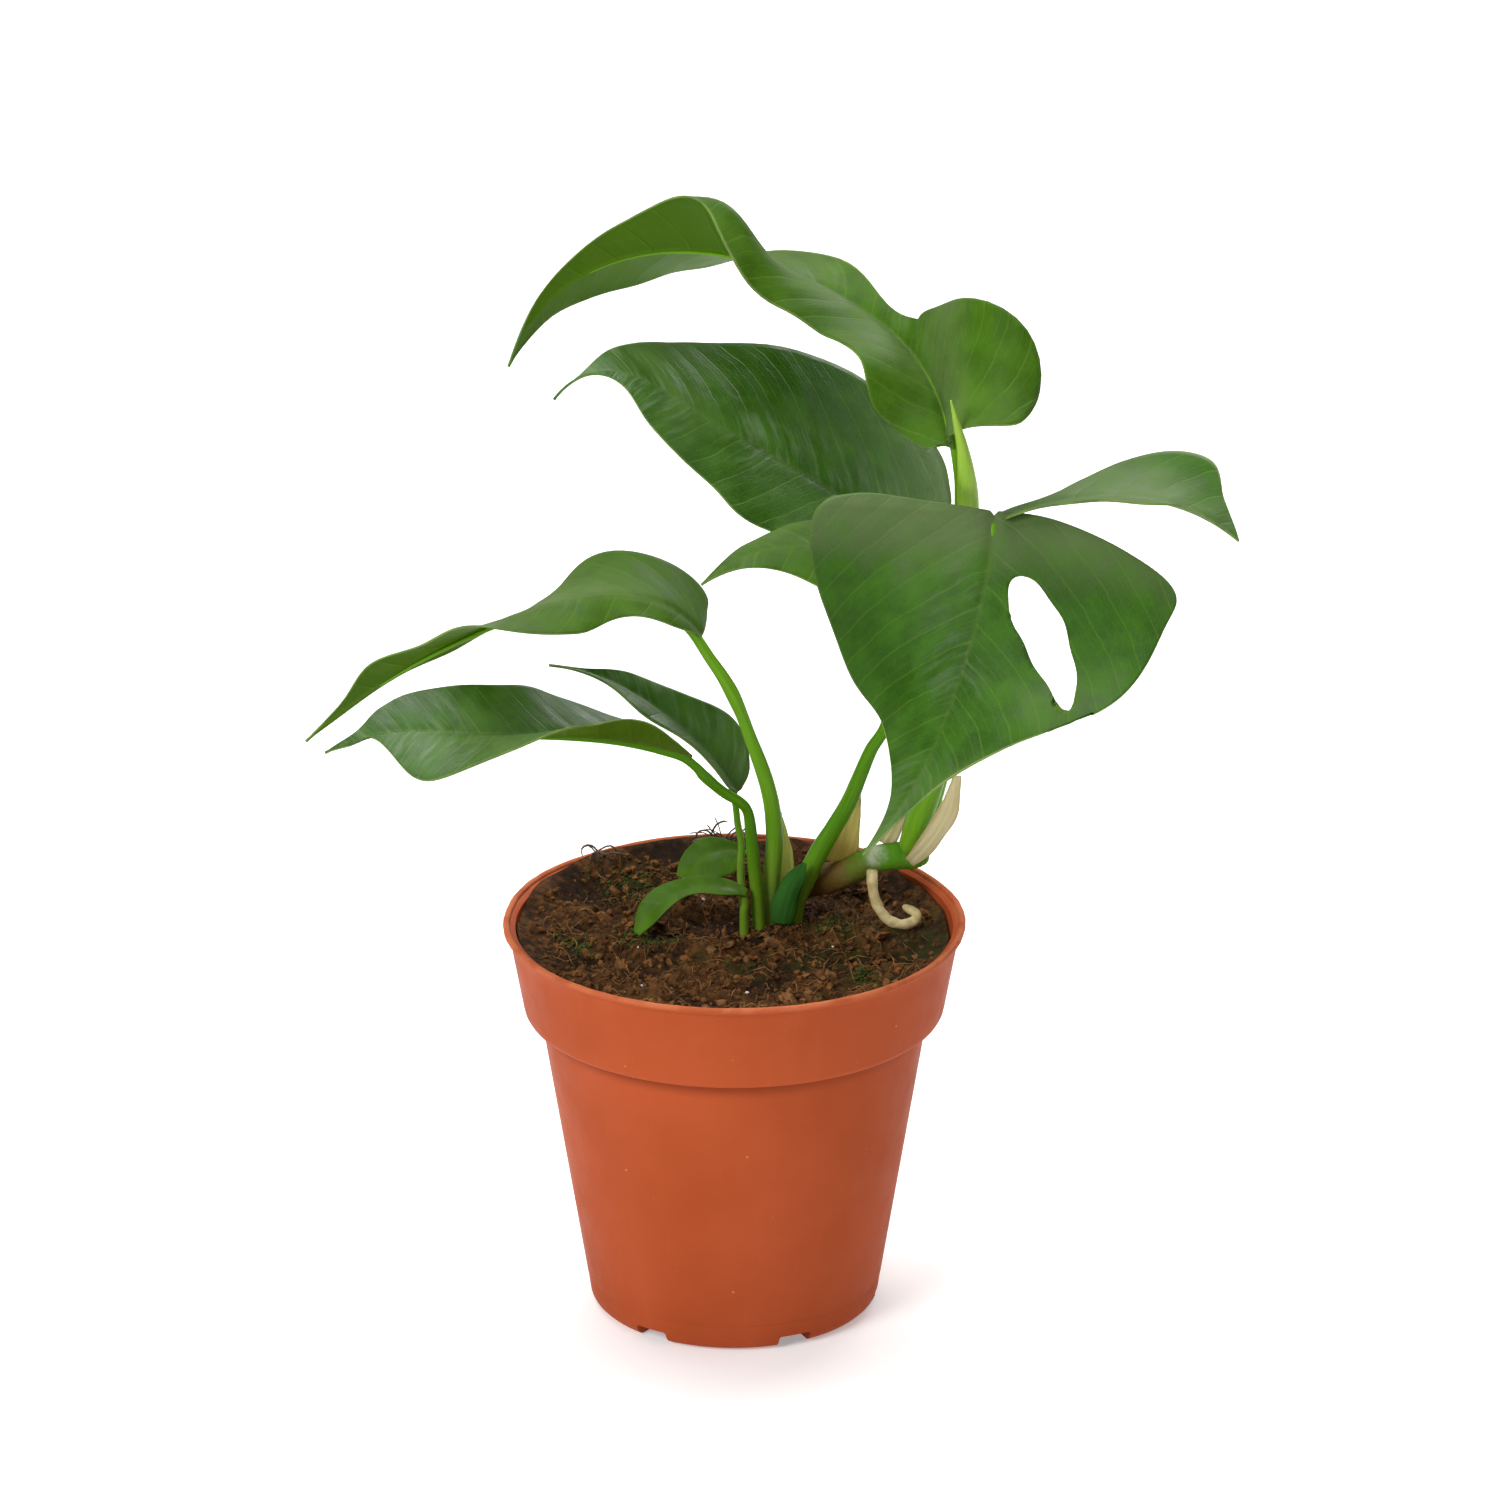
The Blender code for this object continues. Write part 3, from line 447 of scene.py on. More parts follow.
def bend(leaf, ahead_by, out_by, proud=0.0):
    """Points of the bent blade, for places on the flat one: along the midrib and out to
    its left (or, negative, its right). proud lifts them off its upper face."""
    along, points, ahead, left, up = midrib(leaf)
    share = ahead_by / leaf["length"]
    inside = np.clip(share, 0, 1)

    def read(values):
        return np.stack([np.interp(inside, along, values[:, k]) for k in range(3)], -1)

    def half(key):
        pair = leaf[key]
        return np.radians(
            np.where(out_by >= 0, smooth(pair[0], inside), smooth(pair[1], inside))
        )

    fold, curl = half("fold"), half("curl") / leaf["wide"]
    curl = np.where(np.abs(curl) < 1e-4, 1e-4, curl)
    reach = np.abs(out_by)
    slope = fold - curl * reach
    side = np.sign(out_by)
    across = side * ((np.sin(fold) - np.sin(slope)) / curl - proud * np.sin(slope))
    lift = (np.cos(slope) - np.cos(fold)) / curl + proud * np.cos(slope)
    before = np.minimum(share, 0) * leaf["length"]
    places = (
        read(points) + before[..., None] * ahead[0]
        + across[..., None] * read(left) + lift[..., None] * read(up)
    )
    at, out, long, broad, height = leaf.get("hump", (0, 0, 1, 1, 0))
    near = ((ahead_by - at) / long) ** 2 + ((out_by - out) / broad) ** 2
    places[..., 2] += height * np.exp(-near)
    return places


def flat_places(leaf, rows, columns):
    """Where a grid's crossings lie on the flat blade, and how near each is to the margin."""
    along, out = np.meshgrid(
        np.linspace(0, 1, rows + 1), np.linspace(-1, 1, columns + 1), indexing="ij"
    )
    edges = np.where(
        (out < 0)[..., None], smooth(leaf["left"], along), smooth(leaf["right"], along)
    )
    stations = smooth(leaf.get("rib", (0, leaf["length"])), along)
    share = np.abs(out)
    width = np.maximum(edges[..., 1], TIP_WIDTH)
    return stations * (1 - share) + edges[..., 0] * share, -out * width, share


def vein_valley(ahead_by, out_by):
    """1 on a side vein and 0 halfway between two, for places on the flat blade."""
    reach = np.abs(out_by)
    turn = ahead_by - VEIN_LEAN * reach - VEIN_ARCH * reach**2
    turn = turn / VEIN_SPACING + np.where(out_by < 0, 0.5, 0.0)
    return 0.5 + 0.5 * np.cos(2 * math.pi * turn)


def grid_piece(rows, columns, places, flat=None, near_margin=None):
    """A bmesh grid moved to the places given for its crossings, with the flat places, in
    tenths of a metre, as its UV map and the nearness to the margin as an attribute."""
    bm = bmesh.new()
    bmesh.ops.create_grid(bm, x_segments=rows, y_segments=columns, size=1)
    rim = bm.verts.layers.float.new("rim")
    cell = {}
    for vertex in bm.verts:
        key = (
            round((vertex.co.x + 1) / 2 * rows), round((vertex.co.y + 1) / 2 * columns)
        )
        cell[vertex.index] = key
        vertex.co = places[key]
        vertex[rim] = 0.0 if near_margin is None else float(near_margin[key])
    if flat is not None:
        sheet = bm.loops.layers.uv.new("flat")
        for face in bm.faces:
            for loop in face.loops:
                row, column = cell[loop.vert.index]
                loop[sheet].uv = flat[0][row, column] / 100, flat[1][row, column] / 100
    return bm


def finish(bm, name, looks, sharp=None):
    """The piece made from bm: in metres, smooth, with its materials."""
    bmesh.ops.scale(bm, vec=(MM, MM, MM), verts=bm.verts)
    mesh = bpy.data.meshes.new(name)
    bm.to_mesh(mesh)
    bm.free()
    mesh.shade_smooth()
    if sharp:
        mesh.set_sharp_from_angle(angle=math.radians(sharp))
    for look in looks:
        mesh.materials.append(look)
    made = bpy.data.objects.new(name, mesh)
    bpy.context.scene.collection.objects.link(made)
    return made


def loose(piece):
    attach(piece, ROOT)


def stand_for(piece, slot, *nodes):
    loose(piece)
    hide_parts(*nodes)


def wall(piece, thickness, slots=1):
    """Gives an open surface its thickness: its upper face keeps the first material, its
    under face takes the second, and its margin the third."""
    shell = piece.modifiers.new("thickness", "SOLIDIFY")
    shell.thickness = thickness * MM
    shell.offset = 0
    shell.use_even_offset = False
    if slots > 1:
        shell.material_offset = 1
        shell.material_offset_rim = 2
    return piece


def leaf_points(leaf, rows, columns, ripple=0.35):
    """The bent places of a blade with its midrib groove, side veins and rippled margin."""
    ahead_by, out_by, share = flat_places(leaf, rows, columns)
    along = np.clip(ahead_by / leaf["length"], 0, 1)
    groove = 0.45 * np.exp(-((out_by / 1.4) ** 2)) * (1 - along) ** 0.6
    fade = np.clip(1.15 - share, 0, 1) * np.clip(np.abs(out_by) / 3, 0, 1)
    quilt = leaf.get("quilt", QUILT) * vein_valley(ahead_by, out_by) * fade
    wave = np.sin(ahead_by / 5.3 + leaf["length"]) + 0.6 * np.sin(ahead_by / 2.9)
    margin = ripple * wave * share**3 * np.clip(np.abs(out_by) / 6, 0, 1)
    swell = np.sin(ahead_by / 7.3 + 1) * np.sin(out_by / 5.1 + ahead_by / 19)
    low = 0.22 * swell * np.clip(np.abs(out_by) / 5, 0, 1) * (1 - share**2)
    places = bend(leaf, ahead_by, out_by, margin + low - groove - quilt)
    return ahead_by, out_by, share, places


def leaf_blade(name, leaf, looks, rows=110, columns=44):
    ahead_by, out_by, share, places = leaf_points(leaf, rows, columns)
    bm = grid_piece(rows, columns, places, (ahead_by, out_by), share)
    bmesh.ops.reverse_faces(bm, faces=bm.faces)
    return wall(finish(bm, name, looks), LEAF_THICKNESS, slots=3)


def open_hole(bm, leaf):
    """Cuts the front leaf's long hole through its flat grid and smooths the hole's edge."""
    sheet = bm.loops.layers.uv.active
    tilt = math.radians(HOLE_TURN)

    def local(uv):
        x, y = uv[0] * 100 - HOLE_CENTRE[0], uv[1] * 100 - HOLE_CENTRE[1]
        across = x * math.cos(tilt) - y * math.sin(tilt)
        along = (x * math.sin(tilt) + y * math.cos(tilt)) / HOLE_HALF[0]
        return across / HOLE_HALF[1] / (1 - HOLE_TAPER * np.clip(along, -1, 1)), along

    def inside(face):
        places = [local(loop[sheet].uv) for loop in face.loops]
        return float(np.hypot(*np.mean(places, 0))) < 1

    gone = [face for face in bm.faces if inside(face)]
    bmesh.ops.delete(bm, geom=gone, context="FACES")
    for vertex in bm.verts:
        loops = vertex.link_loops
        if not loops or not vertex.is_boundary:
            continue
        across, along = local(loops[0][sheet].uv)
        reach = math.hypot(across, along)
        if reach > 1.6:
            continue
        along = along / reach
        across *= HOLE_HALF[1] * (1 - HOLE_TAPER * along) / reach
        across += 0.25 * math.sin(9 * along)
        along *= HOLE_HALF[0]
        x = HOLE_CENTRE[0] + across * math.cos(tilt) + along * math.sin(tilt)
        y = HOLE_CENTRE[1] - across * math.sin(tilt) + along * math.cos(tilt)
        vertex.co = bend(leaf, np.array(x), np.array(y))
        for loop in loops:
            loop[sheet].uv = x / 100, y / 100


def tube(name, points, looks, sides=18, shape=None):
    """A closed stem along points (x, y, z, radius). shape(share, turn) scales its radius."""
    points = np.asarray(points, float)
    rows = len(points) - 1
    path, radii = points[:, :3], points[:, 3]
    ahead = np.gradient(path, axis=0)
    ahead /= np.linalg.norm(ahead, axis=1)[:, None]
    side = np.zeros_like(path)
    side[0] = np.cross(ahead[0], (0.31, -0.9, 0.3))
    for k in range(len(path)):
        last = side[max(k - 1, 0)]
        side[k] = last - ahead[k] * (last @ ahead[k])
        side[k] /= np.linalg.norm(side[k])
    other = np.cross(ahead, side)
    turn = np.linspace(0, 2 * math.pi, sides + 1)
    share = np.linspace(0, 1, rows + 1)
    scale = np.ones((rows + 1, sides + 1))
    if shape:
        scale = shape(share[:, None], turn[None, :])
    reach = (radii[:, None] * scale)[..., None]
    places = path[:, None] + reach * (
        np.cos(turn)[None, :, None] * side[:, None] + np.sin(turn)[None, :, None] * other[:, None]
    )
    lengths = np.concatenate([[0], np.cumsum(np.linalg.norm(np.diff(path, axis=0), axis=1))])
    flat = (np.repeat(lengths[:, None], sides + 1, 1), np.repeat(turn[None] * 8, rows + 1, 0))
    bm = grid_piece(rows, sides, places, flat)
    bmesh.ops.remove_doubles(bm, verts=bm.verts, dist=1e-4)
    edges = [edge for edge in bm.edges if edge.is_boundary]
    bmesh.ops.holes_fill(bm, edges=edges, sides=0)
    bmesh.ops.recalc_face_normals(bm, faces=bm.faces)
    return finish(bm, name, looks)


def stem_line(stem, per_span=8):
    return smooth(stem, np.linspace(0, 1, (len(stem) - 1) * per_span + 1))


def rooted(line):
    """The line with a first point inside the main stem, where a stalk grows out of that."""
    if line[0, 2] < SOIL_LEVEL + 10:
        return line
    core = stem_line(STEMS["main_stem"])
    near = core[np.argmin(np.linalg.norm(core[:, :3] - line[0, :3], axis=1))]
    inside = 0.3 * line[0] + 0.7 * near
    inside[3] = line[0, 3] * 0.9
    return np.concatenate([[inside], line])


def rib_under(leaf, radius, reach=0.8, count=40):
    """Points of the rib that the stalk becomes under the blade, thinning to its end."""
    where = np.linspace(0.02, reach, count)
    stations = where * leaf["length"]
    radii = radius * (1 - where / reach) ** 0.8 + 0.12
    under = bend(leaf, stations, 0 * stations, -0.6 - 0.8 * radii)
    return np.concatenate([under, radii[:, None]], 1)


def stalk(name, stem, leaf, looks):
    """A stalk that bends at its top and runs on as the rib under its blade."""
    line = stem_line(stem)
    rib = rib_under(leaf, line[-1, 3] * 0.9)
    under = rib[0, :3] - bend(leaf, np.array(0.02 * leaf["length"]), np.array(0.0))
    line[-14:, :3] += np.linspace(0, 1, 14)[:, None] ** 2 * under
    line = rooted(line)
    knots = [line[-14], line[-9], line[-4], rib[0], rib[3], rib[6]]
    turn = smooth(knots, np.linspace(0.2, 0.8, 16))
    points = np.concatenate([line[:-9], turn, rib[4:]])

    def channelled(share, turn):
        swell = 1 + 0.16 * np.exp(-(((share - 0.55) / 0.03) ** 2))
        return swell * (1 + 0.03 * np.cos(3 * turn + 2 * share))

    return tube(name, points, looks, shape=channelled)


def collar_inside(height):
    share = (height - COLLAR_FOOT) / (POT_HEIGHT - COLLAR_FOOT)
    return COLLAR_FOOT_RADIUS - WALL + share * (COLLAR_TOP_RADIUS - COLLAR_FOOT_RADIUS)


def wall_outside(height):
    """The pot's outer radius under its collar."""
    share = (height - FOOT_ROUND) / (COLLAR_FOOT - 2.4 - FOOT_ROUND)
    return FOOT_RADIUS + share * (SHOULDER_RADIUS - 0.3 - FOOT_RADIUS)


def pot_profile():
    """Half of the pot's section: up the inside, over the rim's bead, down the outside."""
    foot = FOOT_RADIUS - WALL
    rise = np.linspace(FLOOR + 3, COLLAR_FOOT - 1, 14)
    inside = [(0, FLOOR), (foot - 3, FLOOR), (foot - 1, FLOOR + 0.6), (foot, FLOOR + 2)]
    inside += [(wall_outside(height) - WALL, height) for height in rise]
    inside += [(collar_inside(height), height) for height in np.linspace(COLLAR_FOOT + 2, 91.6, 9)]
    turns = np.radians(np.linspace(180, -100, 12))
    bead = [
        (RIM_RADIUS - 0.8 + 0.8 * math.cos(turn), POT_HEIGHT - 0.8 + 0.8 * math.sin(turn))
        for turn in turns
    ]
    drop = np.linspace(POT_HEIGHT - 2.4, COLLAR_FOOT + 1.6, 8)
    outside = [
        (COLLAR_FOOT_RADIUS + (height - COLLAR_FOOT) / (POT_HEIGHT - 2 - COLLAR_FOOT)
         * (COLLAR_TOP_RADIUS - COLLAR_FOOT_RADIUS), height)
        for height in drop
    ]
    lip = [(COLLAR_FOOT_RADIUS + out, COLLAR_FOOT + up) for out, up in COLLAR_LIP]
    lip += [(SHOULDER_RADIUS + out, COLLAR_FOOT - down) for out, down in SHOULDER_STEP]
    fall = np.linspace(COLLAR_FOOT - 4, PART_LINE + 0.5, 14)
    body = [(wall_outside(height), height) for height in fall]
    part = [
        (wall_outside(PART_LINE) + 0.02, PART_LINE + 0.15),
        (wall_outside(PART_LINE) - 0.14, PART_LINE),
        (wall_outside(PART_LINE) - 0.1, PART_LINE - 0.3), (FOOT_RADIUS, FOOT_ROUND),
    ]
    toe = [
        (FOOT_RADIUS - FOOT_ROUND * (1 - math.cos(turn)), FOOT_ROUND * (1 - math.sin(turn)))
        for turn in np.radians((18, 36, 54, 72, 90))
    ]
    return inside + bead + outside + lip + body + part + toe + [(26, 0), (0, 0)]


def turned(profile, steps):
    bm = bmesh.new()
    knots = [bm.verts.new((radius, 0, height)) for radius, height in profile]
    edges = [bm.edges.new(pair) for pair in zip(knots, knots[1:])]
    bmesh.ops.spin(
        bm, geom=knots + edges, axis=(0, 0, 1), cent=(0, 0, 0), angle=2 * math.pi,
        steps=steps, use_merge=True,
    )
    bmesh.ops.remove_doubles(bm, verts=bm.verts, dist=0.001)
    bmesh.ops.recalc_face_normals(bm, faces=bm.faces)
    return bm


def cut_away(piece, bm):
    """Cuts the closed shape bm out of the piece at once."""
    cutter = finish(bm, "cutter", [])
    change = piece.modifiers.new("cut", "BOOLEAN")
    change.operation = "DIFFERENCE"
    change.solver = "EXACT"
    change.object = cutter
    graph = bpy.context.evaluated_depsgraph_get()
    shaped = bpy.data.meshes.new_from_object(piece.evaluated_get(graph))
    piece.modifiers.clear()
    piece.data = shaped
    bpy.data.objects.remove(cutter)


def make_pot(look):
    bm = turned(pot_profile(), 180)
    for vertex in bm.verts:
        x, y, z = vertex.co
        if z > POT_HEIGHT - 2.1 and math.hypot(x, y) > COLLAR_TOP_RADIUS - 0.5:
            turn = math.atan2(y, x)
            ragged = noise.noise(Vector((3 * math.cos(turn), 3 * math.sin(turn), z / 9)))
            fine = noise.noise(Vector((17 * math.cos(turn), 17 * math.sin(turn), z / 3)))
            swell = 1 + (0.25 * ragged + 0.16 * fine) / RIM_RADIUS
            vertex.co.x *= swell
            vertex.co.y *= swell
            vertex.co.z += 0.12 * ragged - 0.05
    piece = finish(bm, "nursery_pot", [look], sharp=45)
    for k in range(NOTCH_COUNT):
        turn = math.radians(NOTCH_TURN + k * 360 / NOTCH_COUNT - 90)
        bm = bmesh.new()
        bmesh.ops.create_cube(bm, size=1)
        bmesh.ops.scale(bm, vec=(9, NOTCH_WIDTH, NOTCH_HEIGHT + 1), verts=bm.verts)
        bmesh.ops.bevel(
            bm, geom=bm.edges[:], offset=0.6, segments=2, affect="EDGES", profile=0.5,
            material=-1,
        )
        bmesh.ops.translate(
            bm, vec=(FOOT_RADIUS - 1.5, 0, (NOTCH_HEIGHT - 1) / 2), verts=bm.verts
        )
        bmesh.ops.rotate(
            bm, cent=(0, 0, 0), matrix=Matrix.Rotation(turn, 3, "Z"), verts=bm.verts
        )
        cut_away(piece, bm)
    piece.data.shade_smooth()
    piece.data.set_sharp_from_angle(angle=math.radians(35))
    stand_for(piece, "terracotta_plastic", "pot")


def soil_level(x, y):
    """The height of the soil without its crumbs."""
    from_mound = math.hypot(x - MOUND_PLACE[0], y - MOUND_PLACE[1])
    slope = SOIL_LEVEL + SOIL_RISE_BACK * y - SOIL_FALL_RIGHT * x
    slope += SOIL_EDGE_RISE * (math.hypot(x, y) / SOIL_EDGE_RADIUS) ** SOIL_EDGE_POWER
    mound = SOIL_MOUND * math.exp(-((from_mound / 14) ** 2))
    lumps = 0.5 * math.sin(x / 5.1 + 1) * math.sin(y / 4.3) + 0.3 * math.sin(x / 2.7 - y / 3)
    return slope + mound + lumps


def clod(x, y, size, share):
    """A rounded lump in each cell of a rough pattern: 1 in its middle, 0 at its edge."""
    near = noise.voronoi(Vector((x / size, y / size, share)))[0]
    return max(0.0, 1 - (near[0] / 0.62) ** 2)


def soil_relief(x, y):
    """How far crumbs and clods stand over the soil's level."""
    slow = noise.fractal(Vector((x / 16, y / 16, 2.0)), 1.0, 2.0, 3)
    clods = clod(x, y, 6.0, 1.5) * max(0.0, 0.6 + slow)
    crumbs = clod(x + 2 * slow, y, 2.3, 4.5)
    grain = noise.fractal(Vector((x / 1.3, y / 1.3, 8.0)), 0.8, 2.1, 3)
    return 1.3 * slow + 1.5 * clods + 0.8 * crumbs + 0.45 * grain - 0.9


def make_soil(look):
    radius = collar_inside(SOIL_LEVEL) - 0.5
    tops = [(radius * k / SOIL_RINGS, SOIL_LEVEL) for k in range(SOIL_RINGS + 1)]
    foot = FOOT_RADIUS - WALL - 0.7
    side = [
        (collar_inside(COLLAR_FOOT + 3) - 0.5, COLLAR_FOOT + 3),
        (SHOULDER_RADIUS - WALL - 0.6, COLLAR_FOOT), (foot, FLOOR + 3), (foot - 2.5, FLOOR + 0.4),
        (0, FLOOR + 0.4),
    ]
    bm = turned(tops + side, SOIL_SEGMENTS)
    height = bm.verts.layers.float.new("rim")
    for vertex in bm.verts:
        if vertex.co.z < SOIL_LEVEL - 1:
            continue
        x, y = vertex.co.x, vertex.co.y
        relief = soil_relief(x, y)
        away = math.hypot(x, y) / radius
        vertex.co.z = soil_level(x, y) + relief * min(1.0, 4 * (1.03 - away))
        vertex[height] = relief
        if away > 0.9:
            reach = (collar_inside(vertex.co.z) - 0.4) / radius
            grow = 1 + (reach - 1) * (away - 0.9) * 10
            vertex.co.x *= grow
            vertex.co.y *= grow
    stand_for(finish(bm, "potting_soil", [look]), "peat_soil", "soil")


def soil_place(rng, spread=1.0):
    """A random place on the soil, as (x, y, z)."""
    reach = (collar_inside(SOIL_LEVEL) - 2.5) * math.sqrt(rng.random()) * spread
    turn = rng.uniform(0, 2 * math.pi)
    x, y = reach * math.cos(turn), reach * math.sin(turn)
    return x, y, soil_level(x, y) + soil_relief(x, y)


def add_lump(bm, rng, place, size, flat, rough, turns):
    """An uneven pebble of that size, half sunk at its place."""
    ball = bmesh.ops.create_icosphere(bm, subdivisions=turns, radius=1)["verts"]
    axis = Vector((rng.random(), rng.random(), 1)).normalized()
    turn = Matrix.Rotation(rng.uniform(0, 6.28), 3, axis)
    stretch = Vector((size * rng.uniform(0.7, 1.3), size * rng.uniform(0.7, 1.2), size * flat))
    seed = rng.uniform(0, 90)
    for vertex in ball:
        lumpy = 1 + rough * noise.noise(vertex.co * 1.7 + Vector((seed, 0, 0)))
        vertex.co = turn @ Vector([a * b * lumpy for a, b in zip(vertex.co, stretch)])
        vertex.co += Vector(place)


def make_lumps(name, look):
    """One kind of lump, strewn over the soil."""
    lumps = LUMPS[name]
    rng = random.Random(lumps["seed"])
    bm = bmesh.new()
    for _ in range(lumps["count"]):
        x, y, z = soil_place(rng)
        size = lumps["least"] + lumps["span"] * rng.random() ** lumps["power"]
        place = (x, y, z + lumps["rise"] + lumps["lift"] * size)
        add_lump(bm, rng, place, size, *lumps["form"])
    loose(finish(bm, name, [look], sharp=lumps["sharp"]))


def add_thread(bm, points, radius, sides=4):
    """A thin thread along points, closed at both ends."""
    ring = None
    points = [Vector(point) for point in points]
    for k, point in enumerate(points):
        ahead = (points[min(k + 1, len(points) - 1)] - points[max(k - 1, 0)]).normalized()
        side = ahead.cross(Vector((0.3, 0.2, 1))).normalized()
        other = ahead.cross(side)
        thin = radius * (0.35 if k in (0, len(points) - 1) else 1.0)
        knots = []
        for turn in np.linspace(0, 2 * math.pi, sides, endpoint=False):
            spoke = side * math.cos(turn) + other * math.sin(turn)
            knots.append(bm.verts.new(point + thin * spoke))
        edges = [bm.edges.new((knots[i], knots[(i + 1) % sides])) for i in range(sides)]
        if ring:
            bmesh.ops.bridge_loops(bm, edges=ring + edges)
        else:
            bmesh.ops.contextual_create(bm, geom=edges)
        ring = edges
    bmesh.ops.contextual_create(bm, geom=ring)


def make_fibres(look):
    rng = random.Random(8)
    bm = bmesh.new()
    for _ in range(FIBRE_COUNT):
        x, y, z = soil_place(rng, 0.97)
        turn = rng.uniform(0, 2 * math.pi)
        length = rng.uniform(2.5, 9)
        curl = rng.uniform(-1.2, 1.2)
        points = []
        for k in range(6):
            points.append((x, y, z + 0.25 + rng.uniform(0, 0.5) + (0.6 if k in (2, 3) else 0)))
            turn += curl / 5 + rng.uniform(-0.3, 0.3)
            x += length / 5 * math.cos(turn)
            y += length / 5 * math.sin(turn)
            if math.hypot(x, y) > collar_inside(SOIL_LEVEL) - 2:
                break
            z = soil_level(x, y) + soil_relief(x, y)
        if len(points) > 2:
            add_thread(bm, points, rng.uniform(0.06, 0.13))
    bmesh.ops.recalc_face_normals(bm, faces=bm.faces)
    loose(finish(bm, "peat_fibres", [look]))


def make_moss(look):
    rng = random.Random(21)
    bm = bmesh.new()
    for middle_x, middle_y, spread in MOSS_PATCHES:
        for _ in range(int(34 * spread)):
            x = rng.gauss(middle_x, spread / 2)
            y = rng.gauss(middle_y, spread / 2)
            if math.hypot(x, y) > collar_inside(SOIL_LEVEL) - 2:
                continue
            z = soil_level(x, y) + soil_relief(x, y)
            size = rng.uniform(0.2, 0.5)
            add_lump(bm, rng, (x, y, z + 0.15), size, 0.9, 0.6, 1)
    loose(finish(bm, "moss_tufts", [look]))


def make_rim_roots(look):
    """Fine dry roots that stand up at the back of the rim."""
    rng = random.Random(4)
    bm = bmesh.new()
    for middle_x, middle_y, spread, count in RIM_ROOTS:
        for _ in range(count):
            x = middle_x + rng.uniform(-spread, spread)
            y = middle_y + rng.uniform(-0.8, 0.5)
            z = soil_level(x, y)
            turn = rng.uniform(0.6, 2.5)
            curl = rng.uniform(-0.7, 0.7)
            points = []
            for _ in range(9):
                points.append((x, y, z))
                x += 0.95 * math.cos(turn)
                y += rng.uniform(-0.15, 0.2)
                z += 0.95 * math.sin(turn)
                turn += curl + rng.uniform(-0.25, 0.25)
            add_thread(bm, points, rng.uniform(0.12, 0.26))
    bmesh.ops.recalc_face_normals(bm, faces=bm.faces)
    loose(finish(bm, "rim_roots", [look]))


def domed(line):
    """The line of a stem with a rounded end added."""
    ahead = line[-1, :3] - line[-3, :3]
    ahead /= np.linalg.norm(ahead)
    steps = ((0.45, 0.84), (0.85, 0.5), (1.0, 0.15))
    dome = [np.append(line[-1, :3] + ahead * step, line[-1, 3] * size) for step, size in steps]
    return np.concatenate([line, dome])


def make_main_stem(look):
    def ringed(share, turn):
        nodes = np.zeros_like(share)
        for place in (0.33, 0.52, 0.74, 0.93):
            nodes = nodes + 0.065 * np.exp(-(((share - place) / 0.016) ** 2))
        knobs = 0.05 * np.sin(3 * turn + 9 * share) * np.sin(14 * share + turn)
        return 1 + nodes + knobs

    line = domed(stem_line(STEMS["main_stem"], 14))
    piece = tube("main_stem", line, [look], sides=28, shape=ringed)
    stand_for(piece, "stem_green", "main_stem")


def make_root(look):
    def knobbly(share, turn):
        return 1 + 0.05 * np.sin(31 * share + 2 * turn) + 0.04 * np.sin(57 * share)

    line = domed(stem_line(STEMS["aerial_root"], 10))
    into_stem = line[0] + (0, 0, 2.4, 0)
    piece = tube("aerial_root", np.concatenate([[into_stem], line]), [look], shape=knobbly)
    stand_for(piece, "root_cream", "aerial_root")


def make_spear(look):
    """The next leaf, still rolled: a spindle with the outer edge's spiral seam."""
    def rolled(share, turn):
        seam = np.exp(-(((turn - 2.2 - 2.4 * share) / 0.35) ** 2))
        return (1 - 0.14 * seam) * (1 + 0.22 * np.cos(turn - 1.2))

    line = stem_line(STEMS["new_leaf"], 12)
    piece = tube("rolled_leaf", line, [look], sides=40, shape=rolled)
    stand_for(piece, "stalk_green", "new_leaf")


def make_sheath(name, sheath, look):
    sheath = dict(SHEATH_FORM, **sheath)
    rows, columns = 40, 20
    ahead_by, out_by, share = flat_places(sheath, rows, columns)
    crease = 0.02 if name == "foot_sheath" else 0.12
    fold = crease * np.sin(out_by * 4 + sheath["length"])
    wave = 0.3 * np.sin(ahead_by / 1.7) * share**2
    if name in ON_STEM:
        ahead_by = ahead_by - FOOT_DEPTH * (1 - ahead_by / sheath["length"])
    places = bend(sheath, ahead_by, out_by, fold + wave)
    bm = grid_piece(rows, columns, places, (ahead_by, out_by), share)
    bmesh.ops.reverse_faces(bm, faces=bm.faces)
    piece = wall(finish(bm, name, [look]), SHEATH_THICKNESS)
    stand_for(piece, "dry_sheath", name)


def make_leaves(looks):
    for name, leaf in LEAVES.items():
        if name == "front_leaf":
            make_front_leaf(looks["deep"])
            continue
        kind = "glossy" if name in GLOSSY else "bright" if name in BRIGHT else "young"
        if name in GLOSSY:
            leaf = dict(leaf, quilt=GLOSSY_QUILT)
        size = (110, 44) if leaf["length"] > 60 else (60, 24)
        stand_for(leaf_blade(name + "_blade", leaf, looks[kind], *size), "leaf_green", name)


def make_front_leaf(looks):
    leaf = LEAVES["front_leaf"]
    rows, columns = 120, 96
    ahead_by, out_by, share, places = leaf_points(leaf, rows, columns, 0.25)
    bm = grid_piece(rows, columns, places, (ahead_by, out_by), share)
    open_hole(bm, leaf)
    bmesh.ops.reverse_faces(bm, faces=bm.faces)
    blade = wall(finish(bm, "front_leaf_blade", looks), LEAF_THICKNESS, slots=3)
    stand_for(blade, "leaf_green", "front_leaf")
    loose(leaf_blade("front_leaf_side_lobe", SIDE_LOBE, looks, 80, 32))


